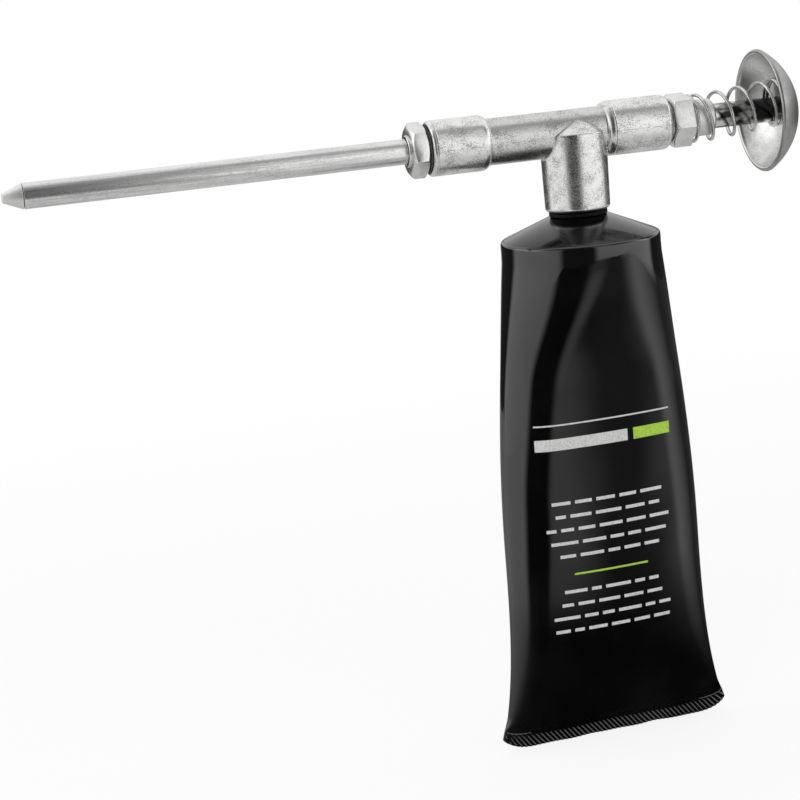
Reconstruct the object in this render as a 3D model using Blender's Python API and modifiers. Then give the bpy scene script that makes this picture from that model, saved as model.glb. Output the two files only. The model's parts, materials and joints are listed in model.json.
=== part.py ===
"""Push grease gun with a squeeze tube, at real size in metres.

The origin is where the barrel's axis crosses the socket's axis. +X runs along the barrel
towards the push button, the tube hangs along -Z, and its broad face looks along -Y.
"""

import math

import bmesh
import bpy

MM = 0.001

# Clearances
FIT_GAP = 0.3 * MM  # round a piece that slides in, screws in or is pressed into another
SEAT_GAP = 0.2 * MM  # between two faces that bear on each other
OVERCUT = 2.0 * MM  # how far a cutter runs past the face it opens

# Tee body, a die casting
BARREL_WALL = 1.75 * MM
COLLAR_WALL = 1.75 * MM
FRONT_REACH = 37.4 * MM  # tube axis to the front face
FRONT_COLLAR_LENGTH = 14.8 * MM
REAR_REACH = 24.4 * MM  # tube axis to the rear face
REAR_COLLAR_LENGTH = 16.8 * MM
COLLAR_RUN_OUT = 1.8 * MM  # length of the rounded step from collar to barrel
COLLAR_CHAMFER = 0.8 * MM
SOCKET_WALL = 2.3 * MM  # at the mouth
SOCKET_DRAFT = math.radians(0.8)
SOCKET_EDGE = 0.9 * MM
ROOF_ANGLE = math.radians(42.0)  # slope of the shoulders where the socket meets the barrel
INLET_DIA = 5.0 * MM
INLET_LENGTH = 4.3 * MM  # from the cylinder down to the tube's neck
NECK_END_GAP = 0.7 * MM  # above the neck, so that the gasket seals first

# Front union and nozzle
HEX_ACROSS_FLATS = 12.0 * MM
HEX_CHAMFER_ANGLE = math.radians(30.0)
HEX_CHAMFER_INSET = 0.4 * MM  # how far the round end face lies inside the flats
NOZZLE_NUT_LENGTH = 3.9 * MM
NOZZLE_NUT_TILT = math.radians(11.0)
NOZZLE_BOSS_WALL = 0.8 * MM
NOZZLE_BOSS_LENGTH = 0.5 * MM
NOZZLE_WASHER_WIDTH = 0.8 * MM
NOZZLE_WASHER_THICKNESS = 0.6 * MM
NOZZLE_DIA = 6.2 * MM
NOZZLE_BORE_DIA = 3.4 * MM
NOZZLE_LENGTH = 99.8 * MM
NOZZLE_SEAT_DEPTH = 7.2 * MM
NUT_WEB = 1.6 * MM  # between the nozzle's seat and the ball chamber
TIP_LENGTH = 4.8 * MM
TIP_FLAT_DIA = 2.2 * MM
TIP_HOLE_DIA = 1.0 * MM
TIP_SPIGOT_LENGTH = 8.0 * MM

# Outlet valve
BALL_DIA = 4.8 * MM
BALL_SIDE_GAP = 0.5 * MM  # for the grease to pass
VALVE_HOLE_STEP = 0.8 * MM  # how much smaller in radius the hole is than the ball
VALVE_CONE_WIDTH = 1.0 * MM
VALVE_CONE_DEPTH = 1.2 * MM
VALVE_LAND = 1.0 * MM  # straight hole behind the cone
CHECK_WIRE_DIA = 0.5 * MM
CHECK_COIL_STEP = 0.65 * MM  # how much smaller in radius the coil is than the ball
CHECK_TURNS = 3.5
CHECK_TURN_GAP = 0.63 * MM

# Rear gland
GLAND_WALL = 1.4 * MM
GLAND_ENGAGEMENT = 6.9 * MM  # length of shank inside the collar
GLAND_STANDOFF = 0.7 * MM  # gap that shows between the collar and the hex
GLAND_HEX_LENGTH = 5.2 * MM
GLAND_TILT = math.radians(18.0)
SPIGOT_WALL = 1.2 * MM
SPIGOT_LENGTH = 6.3 * MM
SPIGOT_CHAMFER = 0.5 * MM
PACKING_LENGTH = 2.6 * MM
PACKING_EDGE = 0.5 * MM
PACKING_WASHER_THICKNESS = 0.8 * MM

# Plunger
ROD_DIA = 6.2 * MM
ROD_REACH = 56.9 * MM  # tube axis to the shoulder that the button sits on
HEAD_STEP = 0.6 * MM  # how much larger in radius the head is than the rod
HEAD_LAND = 1.75 * MM  # on each side of the seal
HEAD_CHAMFER = 0.6 * MM
O_RING_WIRE_DIA = 1.1 * MM
TENON_DIA = 4.0 * MM
BUTTON_DIA = 30.8 * MM
BUTTON_DEPTH = 7.1 * MM  # from the rim to the bottom of the hollow
BUTTON_SHEET = 1.0 * MM

# Return spring
SPRING_WIRE_DIA = 0.9 * MM
SPRING_TURNS = 6.5
SPRING_CLOSED_TURNS = 1.05  # at each end
SPRING_RAMP_TURNS = 0.5  # from closed to fully open
SPRING_TURN_GAP = 0.55 * MM  # between the wires of a closed end turn
SPRING_SPIGOT_GAP = 0.5 * MM  # round the gland's spigot
SPRING_ROD_GAP = 0.4 * MM  # under the rod at the button, where the coil has slipped up

# Squeeze tube
NECK_DIA = 11.0 * MM
NECK_LENGTH = 11.6 * MM
NECK_BORE_DIA = 6.0 * MM
NECK_CHAMFER = 0.5 * MM
GASKET_WIDTH = 1.5 * MM
GASKET_THICKNESS = 1.0 * MM
HEAD_FLAT_WIDTH = 2.2 * MM  # flat ring round the neck
SHOULDER_DROP = 4.9 * MM
SHOULDER_ROUND = 1.2 * MM
SHOULDER_TURN = math.radians(45.0)  # where the round takes over from the cone
HEAD_WALL = 1.6 * MM
SKIRT_DEPTH = 3.2 * MM
SKIRT_WALL = 1.2 * MM
SKIRT_MARGIN = 1.3 * MM  # how far the sleeve stays round below the skirt
TUBE_DIA = 40.0 * MM
TUBE_TURN = math.radians(3.4)  # how far the flat end stands off the barrel's direction
SLEEVE_LENGTH = 130.4 * MM
SLEEVE_WALL = 0.6 * MM
CRIMP_HEIGHT = 3.4 * MM
CRIMP_THICKNESS = 1.3 * MM
CRIMP_FLARE = 3.4 * MM  # how far each end of the crimp stands out
CRIMP_FLARE_POWER = 30
SPREAD_POWER = 0.9
CLOSING_POWER = 0.55
EDGE_FULLNESS = 6.0 * MM  # keeps the edges of the flat end blunt
CRIMP_BLUNTNESS = 2.0  # how much sooner the crimp reaches its full thickness
CAVITY_MARGIN = 1.2 * MM  # solid stretch above the crimp
GREASE_MARGIN = 4.0 * MM  # air left at the flat end

# Facets
ROUND_STEPS = 40
SMALL_STEPS = 28
HEX_SIDES = 6
ARC_STEPS = 4
DOME_STEPS = 6
BALL_RINGS = 10
SPRING_POINTS = 16
CHECK_POINTS = 10
SLEEVE_POINTS = 36
SLEEVE_RINGS = 16
RING_CROWDING = 1.5  # gathers the rings towards the flat end
SHARP_ANGLE = math.radians(32.0)
MERGE = 0.01 * MM

# Sizes that follow from the rod, the ball and the neck
ROD_BORE_DIA = ROD_DIA + 2 * FIT_GAP
HEAD_DIA = ROD_DIA + 2 * HEAD_STEP
CYLINDER_DIA = HEAD_DIA + 2 * FIT_GAP
BARREL_DIA = CYLINDER_DIA + 2 * BARREL_WALL
UNION_SHANK_DIA = ROD_BORE_DIA + 2 * GLAND_WALL
UNION_BORE_DIA = UNION_SHANK_DIA + 2 * FIT_GAP
COLLAR_DIA = UNION_BORE_DIA + 2 * COLLAR_WALL
SPIGOT_DIA = ROD_BORE_DIA + 2 * SPIGOT_WALL
NOZZLE_SEAT_DIA = NOZZLE_DIA + 2 * FIT_GAP
NOZZLE_BOSS_DIA = NOZZLE_SEAT_DIA + 2 * NOZZLE_BOSS_WALL
NOZZLE_WASHER_DIA = UNION_BORE_DIA + 2 * NOZZLE_WASHER_WIDTH
BALL_CHAMBER_DIA = BALL_DIA + 2 * BALL_SIDE_GAP
VALVE_HOLE_DIA = BALL_DIA - 2 * VALVE_HOLE_STEP
VALVE_MOUTH_DIA = VALVE_HOLE_DIA + 2 * VALVE_CONE_WIDTH
CHECK_COIL_DIA = BALL_DIA - 2 * CHECK_COIL_STEP
O_RING_GROOVE_LENGTH = O_RING_WIRE_DIA + 2 * FIT_GAP
SPRING_COIL_DIA = SPIGOT_DIA + 2 * SPRING_SPIGOT_GAP + SPRING_WIRE_DIA
SPRING_RISE = SPIGOT_DIA / 2 + SPRING_SPIGOT_GAP - ROD_DIA / 2 - SPRING_ROD_GAP
NECK_SOCKET_DIA = NECK_DIA + 2 * FIT_GAP
SOCKET_DIA = NECK_SOCKET_DIA + 2 * SOCKET_WALL
GASKET_DIA = NECK_SOCKET_DIA + 2 * GASKET_WIDTH
HEAD_FLAT_DIA = NECK_DIA + 2 * HEAD_FLAT_WIDTH
SKIRT_DIA = TUBE_DIA - 2 * (SLEEVE_WALL + FIT_GAP)
SLEEVE_ROUND_STRETCH = SKIRT_DEPTH + SKIRT_MARGIN

# Places along the barrel, from the front face forwards and back to the valve
WASHER_REAR_X = -(FRONT_REACH + SEAT_GAP)
WASHER_FRONT_X = WASHER_REAR_X - NOZZLE_WASHER_THICKNESS
NUT_REAR_X = WASHER_FRONT_X - SEAT_GAP
NUT_FRONT_X = NUT_REAR_X - NOZZLE_NUT_LENGTH
BOSS_FRONT_X = NUT_FRONT_X - NOZZLE_BOSS_LENGTH
NOZZLE_FLOOR_X = BOSS_FRONT_X + NOZZLE_SEAT_DEPTH
NOZZLE_REAR_X = NOZZLE_FLOOR_X - SEAT_GAP
NOZZLE_FRONT_X = NOZZLE_REAR_X - NOZZLE_LENGTH
TIP_BASE_X = NOZZLE_FRONT_X - SEAT_GAP
TIP_END_X = TIP_BASE_X - TIP_LENGTH
CHAMBER_END_X = NOZZLE_FLOOR_X + NUT_WEB
CHECK_LOW_X = CHAMBER_END_X + SEAT_GAP + CHECK_WIRE_DIA / 2
CHECK_HIGH_X = CHECK_LOW_X + CHECK_TURNS * (CHECK_WIRE_DIA + CHECK_TURN_GAP)
# The coil's last turn bears on the ball, and the ball on the cone of its seat.
BALL_TO_COIL = (BALL_DIA + CHECK_WIRE_DIA) / 2 + SEAT_GAP
BALL_X = CHECK_HIGH_X + math.sqrt(BALL_TO_COIL**2 - (CHECK_COIL_DIA / 2) ** 2)
CONE_TAPER = math.atan2(VALVE_CONE_WIDTH, VALVE_CONE_DEPTH)
CONE_APEX_X = BALL_X + (BALL_DIA / 2 + SEAT_GAP) / math.sin(CONE_TAPER)
VALVE_FRONT_X = CONE_APEX_X - VALVE_MOUTH_DIA / 2 / math.tan(CONE_TAPER)
VALVE_REAR_X = VALVE_FRONT_X + VALVE_CONE_DEPTH + VALVE_LAND
NUT_SHANK_END_X = VALVE_FRONT_X - SEAT_GAP
FRONT_FLOOR_X = VALVE_REAR_X + SEAT_GAP

# Places along the barrel, from the rear face back to the plunger's head
GLAND_HEX_X = REAR_REACH + GLAND_STANDOFF
GLAND_FACE_X = GLAND_HEX_X + GLAND_HEX_LENGTH
SPIGOT_END_X = GLAND_FACE_X + SPIGOT_LENGTH
GLAND_FRONT_X = REAR_REACH - GLAND_ENGAGEMENT
WASHER_2_X = GLAND_FRONT_X - SEAT_GAP - PACKING_WASHER_THICKNESS
PACKING_X = WASHER_2_X - SEAT_GAP - PACKING_LENGTH
WASHER_1_X = PACKING_X - SEAT_GAP - PACKING_WASHER_THICKNESS
REAR_FLOOR_X = WASHER_1_X - SEAT_GAP
HEAD_REAR_X = WASHER_1_X - SEAT_GAP
GROOVE_HIGH_X = HEAD_REAR_X - HEAD_LAND
GROOVE_LOW_X = GROOVE_HIGH_X - O_RING_GROOVE_LENGTH
HEAD_FRONT_X = GROOVE_LOW_X - HEAD_LAND

# The button's two spheres
DOME_DEPTH = BUTTON_DEPTH + BUTTON_SHEET
DOME_RADIUS = ((BUTTON_DIA / 2) ** 2 + DOME_DEPTH**2) / (2 * DOME_DEPTH)
HOLLOW_RADIUS = DOME_RADIUS - BUTTON_SHEET
HOLLOW_SEAT_DEPTH = HOLLOW_RADIUS - math.sqrt(HOLLOW_RADIUS**2 - (ROD_DIA / 2) ** 2)
HOLLOW_APEX_X = ROD_REACH + SEAT_GAP + HOLLOW_SEAT_DEPTH
BUTTON_APEX_X = HOLLOW_APEX_X + BUTTON_SHEET
BUTTON_RIM_X = HOLLOW_APEX_X - BUTTON_DEPTH

# Places along the tube, from the cylinder down
SOCKET_FLOOR_Z = -(CYLINDER_DIA / 2 + INLET_LENGTH)
NECK_TOP_Z = SOCKET_FLOOR_Z - NECK_END_GAP
HEAD_FLAT_Z = NECK_TOP_Z - NECK_LENGTH
GASKET_LOW_Z = HEAD_FLAT_Z + SEAT_GAP
GASKET_TOP_Z = GASKET_LOW_Z + GASKET_THICKNESS
SOCKET_MOUTH_Z = GASKET_TOP_Z + SEAT_GAP
SHOULDER_Z = HEAD_FLAT_Z - SHOULDER_DROP
SLEEVE_TOP_Z = SHOULDER_Z - SEAT_GAP


def clear_scene():
    for obj in list(bpy.data.objects):
        bpy.data.objects.remove(obj, do_unlink=True)


def new_collection(name):
    collection = bpy.data.collections.new(name)
    bpy.context.scene.collection.children.link(collection)
    return collection


clear_scene()
PARTS = new_collection("push_grease_gun")
CUTTERS = new_collection("cutters")


def finish(name, colour, metallic, roughness):
    """A plain material with the piece's own colour."""
    material = bpy.data.materials.new(name)
    material.use_nodes = True
    shader = material.node_tree.nodes["Principled BSDF"]
    shader.inputs["Base Color"].default_value = (*colour, 1.0)
    shader.inputs["Metallic"].default_value = metallic
    shader.inputs["Roughness"].default_value = roughness
    return material


def new_object(name, data, parent=None):
    obj = bpy.data.objects.new(name, data)
    CUTTERS.objects.link(obj)
    obj.parent = parent
    obj.hide_render = True
    obj.display_type = "WIRE"
    return obj


def as_part(obj, material):
    """Moves an object out of the cutters and makes it a piece of the gun."""
    CUTTERS.objects.unlink(obj)
    PARTS.objects.link(obj)
    obj.hide_render = False
    obj.display_type = "TEXTURED"
    if obj.type == "MESH":
        settle(obj)
    obj.data.materials.clear()
    obj.data.materials.append(material)
    return obj


def settle(obj):
    """Turns the modifiers into mesh, smooth but for its real edges."""
    bpy.context.view_layer.update()
    graph = bpy.context.evaluated_depsgraph_get()
    mesh = bpy.data.meshes.new_from_object(obj.evaluated_get(graph))
    obj.modifiers.clear()
    obj.data = mesh
    mesh.shade_smooth()
    mesh.set_sharp_from_angle(angle=SHARP_ANGLE)


def pivot(name, turn=0.0):
    """An empty on a joint's axis, which carries the pieces that move with it."""
    empty = bpy.data.objects.new(name, None)
    PARTS.objects.link(empty)
    empty.rotation_euler = (0.0, 0.0, turn)
    return empty


def arc(centre, radii, start, end, steps):
    """Points (place, radius) on an arc, with angles from the axis direction."""
    points = []
    for i in range(steps + 1):
        angle = start + (end - start) * i / steps
        place = centre[0] + radii[0] * math.cos(angle)
        radius = centre[1] + radii[1] * math.sin(angle)
        points.append((place, radius))
    return points


def turned(name, outline, axis="X", steps=ROUND_STEPS, turn=0.0, parent=None):
    """A turned piece. The outline is (place along the axis, radius), and a closed loop
    unless both of its ends lie on the axis."""
    solid = outline[0][1] == 0 and outline[-1][1] == 0
    area = 0.0
    for (place, radius), (next_place, next_radius) in zip(outline, outline[1:] + outline[:1]):
        area += place * next_radius - next_place * radius
    # The outer side has to run from the high end to the low end.
    if area < 0:
        outline = outline[::-1]
    mesh = bpy.data.meshes.new(name)
    shape = bmesh.new()
    points = []
    for place, radius in outline:
        spot = (radius * math.cos(turn), radius * math.sin(turn), place)
        points.append(shape.verts.new(spot))
    for first, second in zip(points, points[1:]):
        shape.edges.new((first, second))
    if not solid:
        shape.edges.new((points[-1], points[0]))
    shape.to_mesh(mesh)
    shape.free()
    obj = new_object(name, mesh, parent)
    if axis == "X":
        obj.rotation_euler = (0.0, math.pi / 2, 0.0)
    screw = obj.modifiers.new("turn", "SCREW")
    screw.steps = steps
    screw.render_steps = steps
    screw.use_merge_vertices = True
    screw.merge_threshold = MERGE
    screw.use_smooth_shade = True
    return obj


def combine(obj, other, operation):
    boolean = obj.modifiers.new(other.name, "BOOLEAN")
    boolean.operation = operation
    boolean.object = other


def ring(name, low, high, outer_dia, inner_dia, axis="X", steps=SMALL_STEPS):
    """A plain washer or gasket."""
    outline = [
        (high, outer_dia / 2),
        (low, outer_dia / 2),
        (low, inner_dia / 2),
        (high, inner_dia / 2),
    ]
    return turned(name, outline, axis, steps)


def hexagon(name, low, high, tilt, chamfer_high):
    """A hex with one end chamfered to a circle, as a nut is."""
    corner = HEX_ACROSS_FLATS / math.sqrt(3)
    prism = [(high, 0.0), (high, corner), (low, corner), (low, 0.0)]
    obj = turned(name, prism, steps=HEX_SIDES, turn=-tilt)
    face = HEX_ACROSS_FLATS / 2 - HEX_CHAMFER_INSET
    wide = corner + OVERCUT
    run = (wide - face) * math.tan(HEX_CHAMFER_ANGLE)
    if chamfer_high:
        cone = [(high, 0.0), (high, face), (high - run, wide)]
        cone += [(low - OVERCUT, wide), (low - OVERCUT, 0.0)]
    else:
        cone = [(high + OVERCUT, 0.0), (high + OVERCUT, wide)]
        cone += [(low + run, wide), (low, face), (low, 0.0)]
    combine(obj, turned(name + "_chamfer", cone), "INTERSECT")
    return obj


def tee_body():
    barrel = BARREL_DIA / 2
    collar = COLLAR_DIA / 2
    step = (COLLAR_RUN_OUT, collar - barrel)
    rear_start = REAR_REACH - REAR_COLLAR_LENGTH
    front_end = -(FRONT_REACH - FRONT_COLLAR_LENGTH)
    outline = [(REAR_REACH, 0.0), (REAR_REACH, collar - COLLAR_CHAMFER)]
    outline.append((REAR_REACH - COLLAR_CHAMFER, collar))
    rear_centre = (rear_start + COLLAR_RUN_OUT, barrel)
    outline += arc(rear_centre, step, math.pi / 2, math.pi, ARC_STEPS)
    front_centre = (front_end - COLLAR_RUN_OUT, barrel)
    outline += arc(front_centre, step, 0.0, math.pi / 2, ARC_STEPS)
    outline.append((-FRONT_REACH + COLLAR_CHAMFER, collar))
    outline += [(-FRONT_REACH, collar - COLLAR_CHAMFER), (-FRONT_REACH, 0.0)]
    tee = turned("tee_body", outline)

    mouth = SOCKET_DIA / 2
    top = mouth - SOCKET_MOUTH_Z * math.tan(SOCKET_DRAFT)
    slope = math.tan(ROOF_ANGLE)
    # The roof ends where it runs closest to the barrel's axis, inside the barrel.
    roof_height = top * slope / (1 + slope**2)
    outline = [(roof_height, 0.0), (roof_height, top - roof_height / slope), (0.0, top)]
    edge_centre = (SOCKET_MOUTH_Z + SOCKET_EDGE, mouth - SOCKET_EDGE)
    edge = (SOCKET_EDGE, SOCKET_EDGE)
    outline += arc(edge_centre, edge, math.pi / 2, math.pi, ARC_STEPS)
    outline.append((SOCKET_MOUTH_Z, 0.0))
    combine(tee, turned("socket_outside", outline, axis="Z"), "UNION")

    pocket = UNION_BORE_DIA / 2
    cylinder = CYLINDER_DIA / 2
    rear_end = REAR_REACH + OVERCUT
    front_end = -FRONT_REACH - OVERCUT
    outline = [(rear_end, 0.0), (rear_end, pocket), (REAR_FLOOR_X, pocket)]
    outline += [(REAR_FLOOR_X, cylinder), (FRONT_FLOOR_X, cylinder), (FRONT_FLOOR_X, pocket)]
    outline += [(front_end, pocket), (front_end, 0.0)]
    combine(tee, turned("barrel_bore", outline), "DIFFERENCE")

    neck = NECK_SOCKET_DIA / 2
    inlet = INLET_DIA / 2
    low = SOCKET_MOUTH_Z - OVERCUT
    outline = [(0.0, 0.0), (0.0, inlet), (SOCKET_FLOOR_Z, inlet), (SOCKET_FLOOR_Z, neck)]
    outline += [(low, neck), (low, 0.0)]
    combine(tee, turned("socket_bore", outline, axis="Z"), "DIFFERENCE")
    return as_part(tee, finish("cast_zinc", (0.62, 0.62, 0.61), 1.0, 0.38))


def nozzle_nut():
    nut = hexagon("nozzle_nut", NUT_FRONT_X, NUT_REAR_X, NOZZLE_NUT_TILT, chamfer_high=False)
    shank = UNION_SHANK_DIA / 2
    boss = NOZZLE_BOSS_DIA / 2
    inside = (NUT_FRONT_X + NUT_REAR_X) / 2
    outline = [(NUT_SHANK_END_X, 0.0), (NUT_SHANK_END_X, shank), (inside, shank)]
    combine(nut, turned("nut_shank", outline + [(inside, 0.0)]), "UNION")
    outline = [(inside, 0.0), (inside, boss), (NUT_FRONT_X, boss)]
    outline += [(BOSS_FRONT_X, boss - NOZZLE_BOSS_LENGTH), (BOSS_FRONT_X, 0.0)]
    combine(nut, turned("nut_boss", outline), "UNION")
    chamber = BALL_CHAMBER_DIA / 2
    bore = NOZZLE_BORE_DIA / 2
    pocket = NOZZLE_SEAT_DIA / 2
    high = NUT_SHANK_END_X + OVERCUT
    low = BOSS_FRONT_X - OVERCUT
    outline = [(high, 0.0), (high, chamber), (CHAMBER_END_X, chamber), (CHAMBER_END_X, bore)]
    outline += [(NOZZLE_FLOOR_X, bore), (NOZZLE_FLOOR_X, pocket), (low, pocket), (low, 0.0)]
    combine(nut, turned("nut_bore", outline, steps=SMALL_STEPS), "DIFFERENCE")
    return as_part(nut, finish("nut_plate", (0.72, 0.72, 0.71), 1.0, 0.28))


def nozzle():
    washer = ring("nozzle_washer", WASHER_FRONT_X, WASHER_REAR_X, NOZZLE_WASHER_DIA, UNION_BORE_DIA)
    as_part(washer, finish("fibre_black", (0.02, 0.02, 0.02), 0.0, 0.7))
    tube = ring("nozzle_tube", NOZZLE_FRONT_X, NOZZLE_REAR_X, NOZZLE_DIA, NOZZLE_BORE_DIA)
    as_part(tube, finish("nozzle_steel", (0.66, 0.66, 0.66), 1.0, 0.3))
    spigot_x = NOZZLE_FRONT_X + TIP_SPIGOT_LENGTH
    spigot = NOZZLE_BORE_DIA / 2 - FIT_GAP
    hole = TIP_HOLE_DIA / 2
    outline = [(spigot_x, hole), (spigot_x, spigot), (TIP_BASE_X, spigot)]
    outline += [(TIP_BASE_X, NOZZLE_DIA / 2), (TIP_END_X, TIP_FLAT_DIA / 2), (TIP_END_X, hole)]
    tip = turned("nozzle_tip", outline, steps=SMALL_STEPS)
    as_part(tip, finish("tip_steel", (0.74, 0.74, 0.73), 1.0, 0.25))


def helix(turns, per_turn, start, coil_dia, place_at, rise_at):
    """Points of a right-handed coil round the barrel's axis."""
    count = round(turns * per_turn)
    points = []
    for i in range(count + 1):
        done = turns * i / count
        angle = start + 2 * math.pi * done
        y = coil_dia / 2 * math.cos(angle)
        z = coil_dia / 2 * math.sin(angle) + rise_at(done)
        points.append((place_at(done), y, z))
    return points


def least_gap(points, per_turn, wire_dia):
    """The least distance between the wire and its own next turns."""
    nearest = math.inf
    for i, first in enumerate(points):
        for second in points[i + round(per_turn / 2) :]:
            nearest = min(nearest, math.dist(first, second))
    return nearest - wire_dia


def wire(name, points, wire_dia, per_turn):
    curve = bpy.data.curves.new(name, "CURVE")
    curve.dimensions = "3D"
    curve.bevel_depth = wire_dia / 2
    curve.bevel_resolution = 1
    curve.use_fill_caps = True
    spline = curve.splines.new("POLY")
    spline.points.add(len(points) - 1)
    for point, place in zip(spline.points, points):
        point.co = (*place, 1.0)
    gap = least_gap(points, per_turn, wire_dia)
    print(f"{name}: least gap to itself {gap / MM:.2f} mm")
    return new_object(name, curve)


def outlet_valve():
    outer = UNION_SHANK_DIA / 2
    hole = VALVE_HOLE_DIA / 2
    cone_x = VALVE_FRONT_X + VALVE_CONE_DEPTH
    outline = [(VALVE_REAR_X, outer), (VALVE_FRONT_X, outer)]
    outline += [(VALVE_FRONT_X, VALVE_MOUTH_DIA / 2), (cone_x, hole), (VALVE_REAR_X, hole)]
    seat = turned("valve_seat", outline, steps=SMALL_STEPS)
    as_part(seat, finish("brass", (0.72, 0.52, 0.24), 1.0, 0.35))

    carrier = pivot("check_ball_axis")
    mesh = bpy.data.meshes.new("check_ball")
    shape = bmesh.new()
    bmesh.ops.create_uvsphere(
        shape, u_segments=2 * BALL_RINGS, v_segments=BALL_RINGS, radius=BALL_DIA / 2
    )
    shape.to_mesh(mesh)
    shape.free()
    ball = new_object("check_ball", mesh, carrier)
    ball.location = (BALL_X, 0.0, 0.0)
    as_part(ball, finish("ball_steel", (0.7, 0.7, 0.7), 1.0, 0.12))

    def place_at(done):
        return CHECK_LOW_X + (CHECK_HIGH_X - CHECK_LOW_X) * done / CHECK_TURNS

    points = helix(CHECK_TURNS, CHECK_POINTS, 0.0, CHECK_COIL_DIA, place_at, lambda done: 0.0)
    spring = wire("check_spring", points, CHECK_WIRE_DIA, CHECK_POINTS)
    as_part(spring, finish("valve_spring_steel", (0.55, 0.55, 0.56), 1.0, 0.3))


def gland():
    bush = hexagon("gland_bush", GLAND_HEX_X, GLAND_FACE_X, GLAND_TILT, chamfer_high=True)
    shank = UNION_SHANK_DIA / 2
    spigot = SPIGOT_DIA / 2
    inside = (GLAND_HEX_X + GLAND_FACE_X) / 2
    outline = [(inside, 0.0), (inside, shank), (GLAND_FRONT_X, shank), (GLAND_FRONT_X, 0.0)]
    combine(bush, turned("gland_shank", outline), "UNION")
    outline = [(SPIGOT_END_X, 0.0), (SPIGOT_END_X, spigot - SPIGOT_CHAMFER)]
    outline += [(SPIGOT_END_X - SPIGOT_CHAMFER, spigot), (inside, spigot), (inside, 0.0)]
    combine(bush, turned("gland_spigot", outline), "UNION")
    bore = ROD_BORE_DIA / 2
    high = SPIGOT_END_X + OVERCUT
    low = GLAND_FRONT_X - OVERCUT
    outline = [(high, 0.0), (high, bore), (low, bore), (low, 0.0)]
    combine(bush, turned("gland_bore", outline, steps=SMALL_STEPS), "DIFFERENCE")
    as_part(bush, finish("gland_plate", (0.72, 0.72, 0.71), 1.0, 0.28))

    for name, place in (("packing_washer_front", WASHER_1_X), ("packing_washer_rear", WASHER_2_X)):
        high = place + PACKING_WASHER_THICKNESS
        washer = ring(name, place, high, UNION_SHANK_DIA, ROD_BORE_DIA)
        as_part(washer, finish(name + "_steel", (0.6, 0.6, 0.6), 1.0, 0.35))

    outer = UNION_SHANK_DIA / 2
    inner = ROD_BORE_DIA / 2
    high = PACKING_X + PACKING_LENGTH
    outline = [(high, outer - PACKING_EDGE), (high - PACKING_EDGE, outer)]
    outline += [(PACKING_X + PACKING_EDGE, outer), (PACKING_X, outer - PACKING_EDGE)]
    outline += [(PACKING_X, inner), (high, inner)]
    packing = turned("packing_ring", outline, steps=SMALL_STEPS)
    as_part(packing, finish("packing_rubber", (0.03, 0.03, 0.03), 0.0, 0.6))


def hollow_x(radius):
    """Where the hollow of the button lies at this radius."""
    return HOLLOW_APEX_X - HOLLOW_RADIUS + math.sqrt(HOLLOW_RADIUS**2 - radius**2)


def plunger():
    axis = pivot("plunger_axis")
    rod = ROD_DIA / 2
    head = HEAD_DIA / 2
    tenon = TENON_DIA / 2
    groove = head - O_RING_WIRE_DIA - FIT_GAP
    outline = [(BUTTON_APEX_X, 0.0), (BUTTON_APEX_X, tenon), (ROD_REACH, tenon), (ROD_REACH, rod)]
    outline += [(HEAD_REAR_X, rod), (HEAD_REAR_X, head), (GROOVE_HIGH_X, head)]
    outline += [(GROOVE_HIGH_X, groove), (GROOVE_LOW_X, groove), (GROOVE_LOW_X, head)]
    outline += [(HEAD_FRONT_X + HEAD_CHAMFER, head), (HEAD_FRONT_X, head - HEAD_CHAMFER)]
    outline.append((HEAD_FRONT_X, 0.0))
    plunger_rod = turned("plunger_rod", outline, parent=axis)
    as_part(plunger_rod, finish("rod_steel", (0.42, 0.42, 0.42), 1.0, 0.12))

    wire_radius = (O_RING_WIRE_DIA / 2, O_RING_WIRE_DIA / 2)
    centre = ((GROOVE_LOW_X + GROOVE_HIGH_X) / 2, head - O_RING_WIRE_DIA / 2)
    outline = arc(centre, wire_radius, 0.0, 2 * math.pi, 2 * ARC_STEPS)[:-1]
    seal = turned("plunger_o_ring", outline, steps=SMALL_STEPS, parent=axis)
    as_part(seal, finish("seal_rubber", (0.02, 0.02, 0.02), 0.0, 0.5))

    centre = (BUTTON_APEX_X - DOME_RADIUS, 0.0)
    hole = tenon + FIT_GAP
    to_rim = BUTTON_RIM_X - centre[0]
    shells = []
    for radius in (DOME_RADIUS, HOLLOW_RADIUS):
        hole_angle = math.asin(hole / radius)
        rim_angle = math.acos(to_rim / radius)
        shells.append(arc(centre, (radius, radius), hole_angle, rim_angle, DOME_STEPS))
    outline = shells[0]
    inside = shells[1][::-1]
    lip = (outline[-1][1] - inside[0][1]) / 2
    lip_centre = (BUTTON_RIM_X, inside[0][1] + lip)
    outline += arc(lip_centre, (lip, lip), math.pi / 2, 3 * math.pi / 2, ARC_STEPS)[1:-1]
    button = turned("push_button", outline + inside, parent=axis)
    as_part(button, finish("button_nickel", (0.7, 0.69, 0.68), 1.0, 0.22))


def opened(done):
    """Fully open turns that the wire has passed, counting each ramp by its mean."""
    ramp = SPRING_RAMP_TURNS
    up = (done - SPRING_CLOSED_TURNS) / ramp
    down = (SPRING_TURNS - SPRING_CLOSED_TURNS - done) / ramp
    most = SPRING_TURNS - 2 * (SPRING_CLOSED_TURNS + ramp)
    middle = done - SPRING_CLOSED_TURNS - ramp
    up = min(max(up, 0.0), 1.0)
    down = min(max(down, 0.0), 1.0)
    middle = min(max(middle, 0.0), most)
    return middle + ramp * (up**2 + 1 - down**2) / 2


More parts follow.
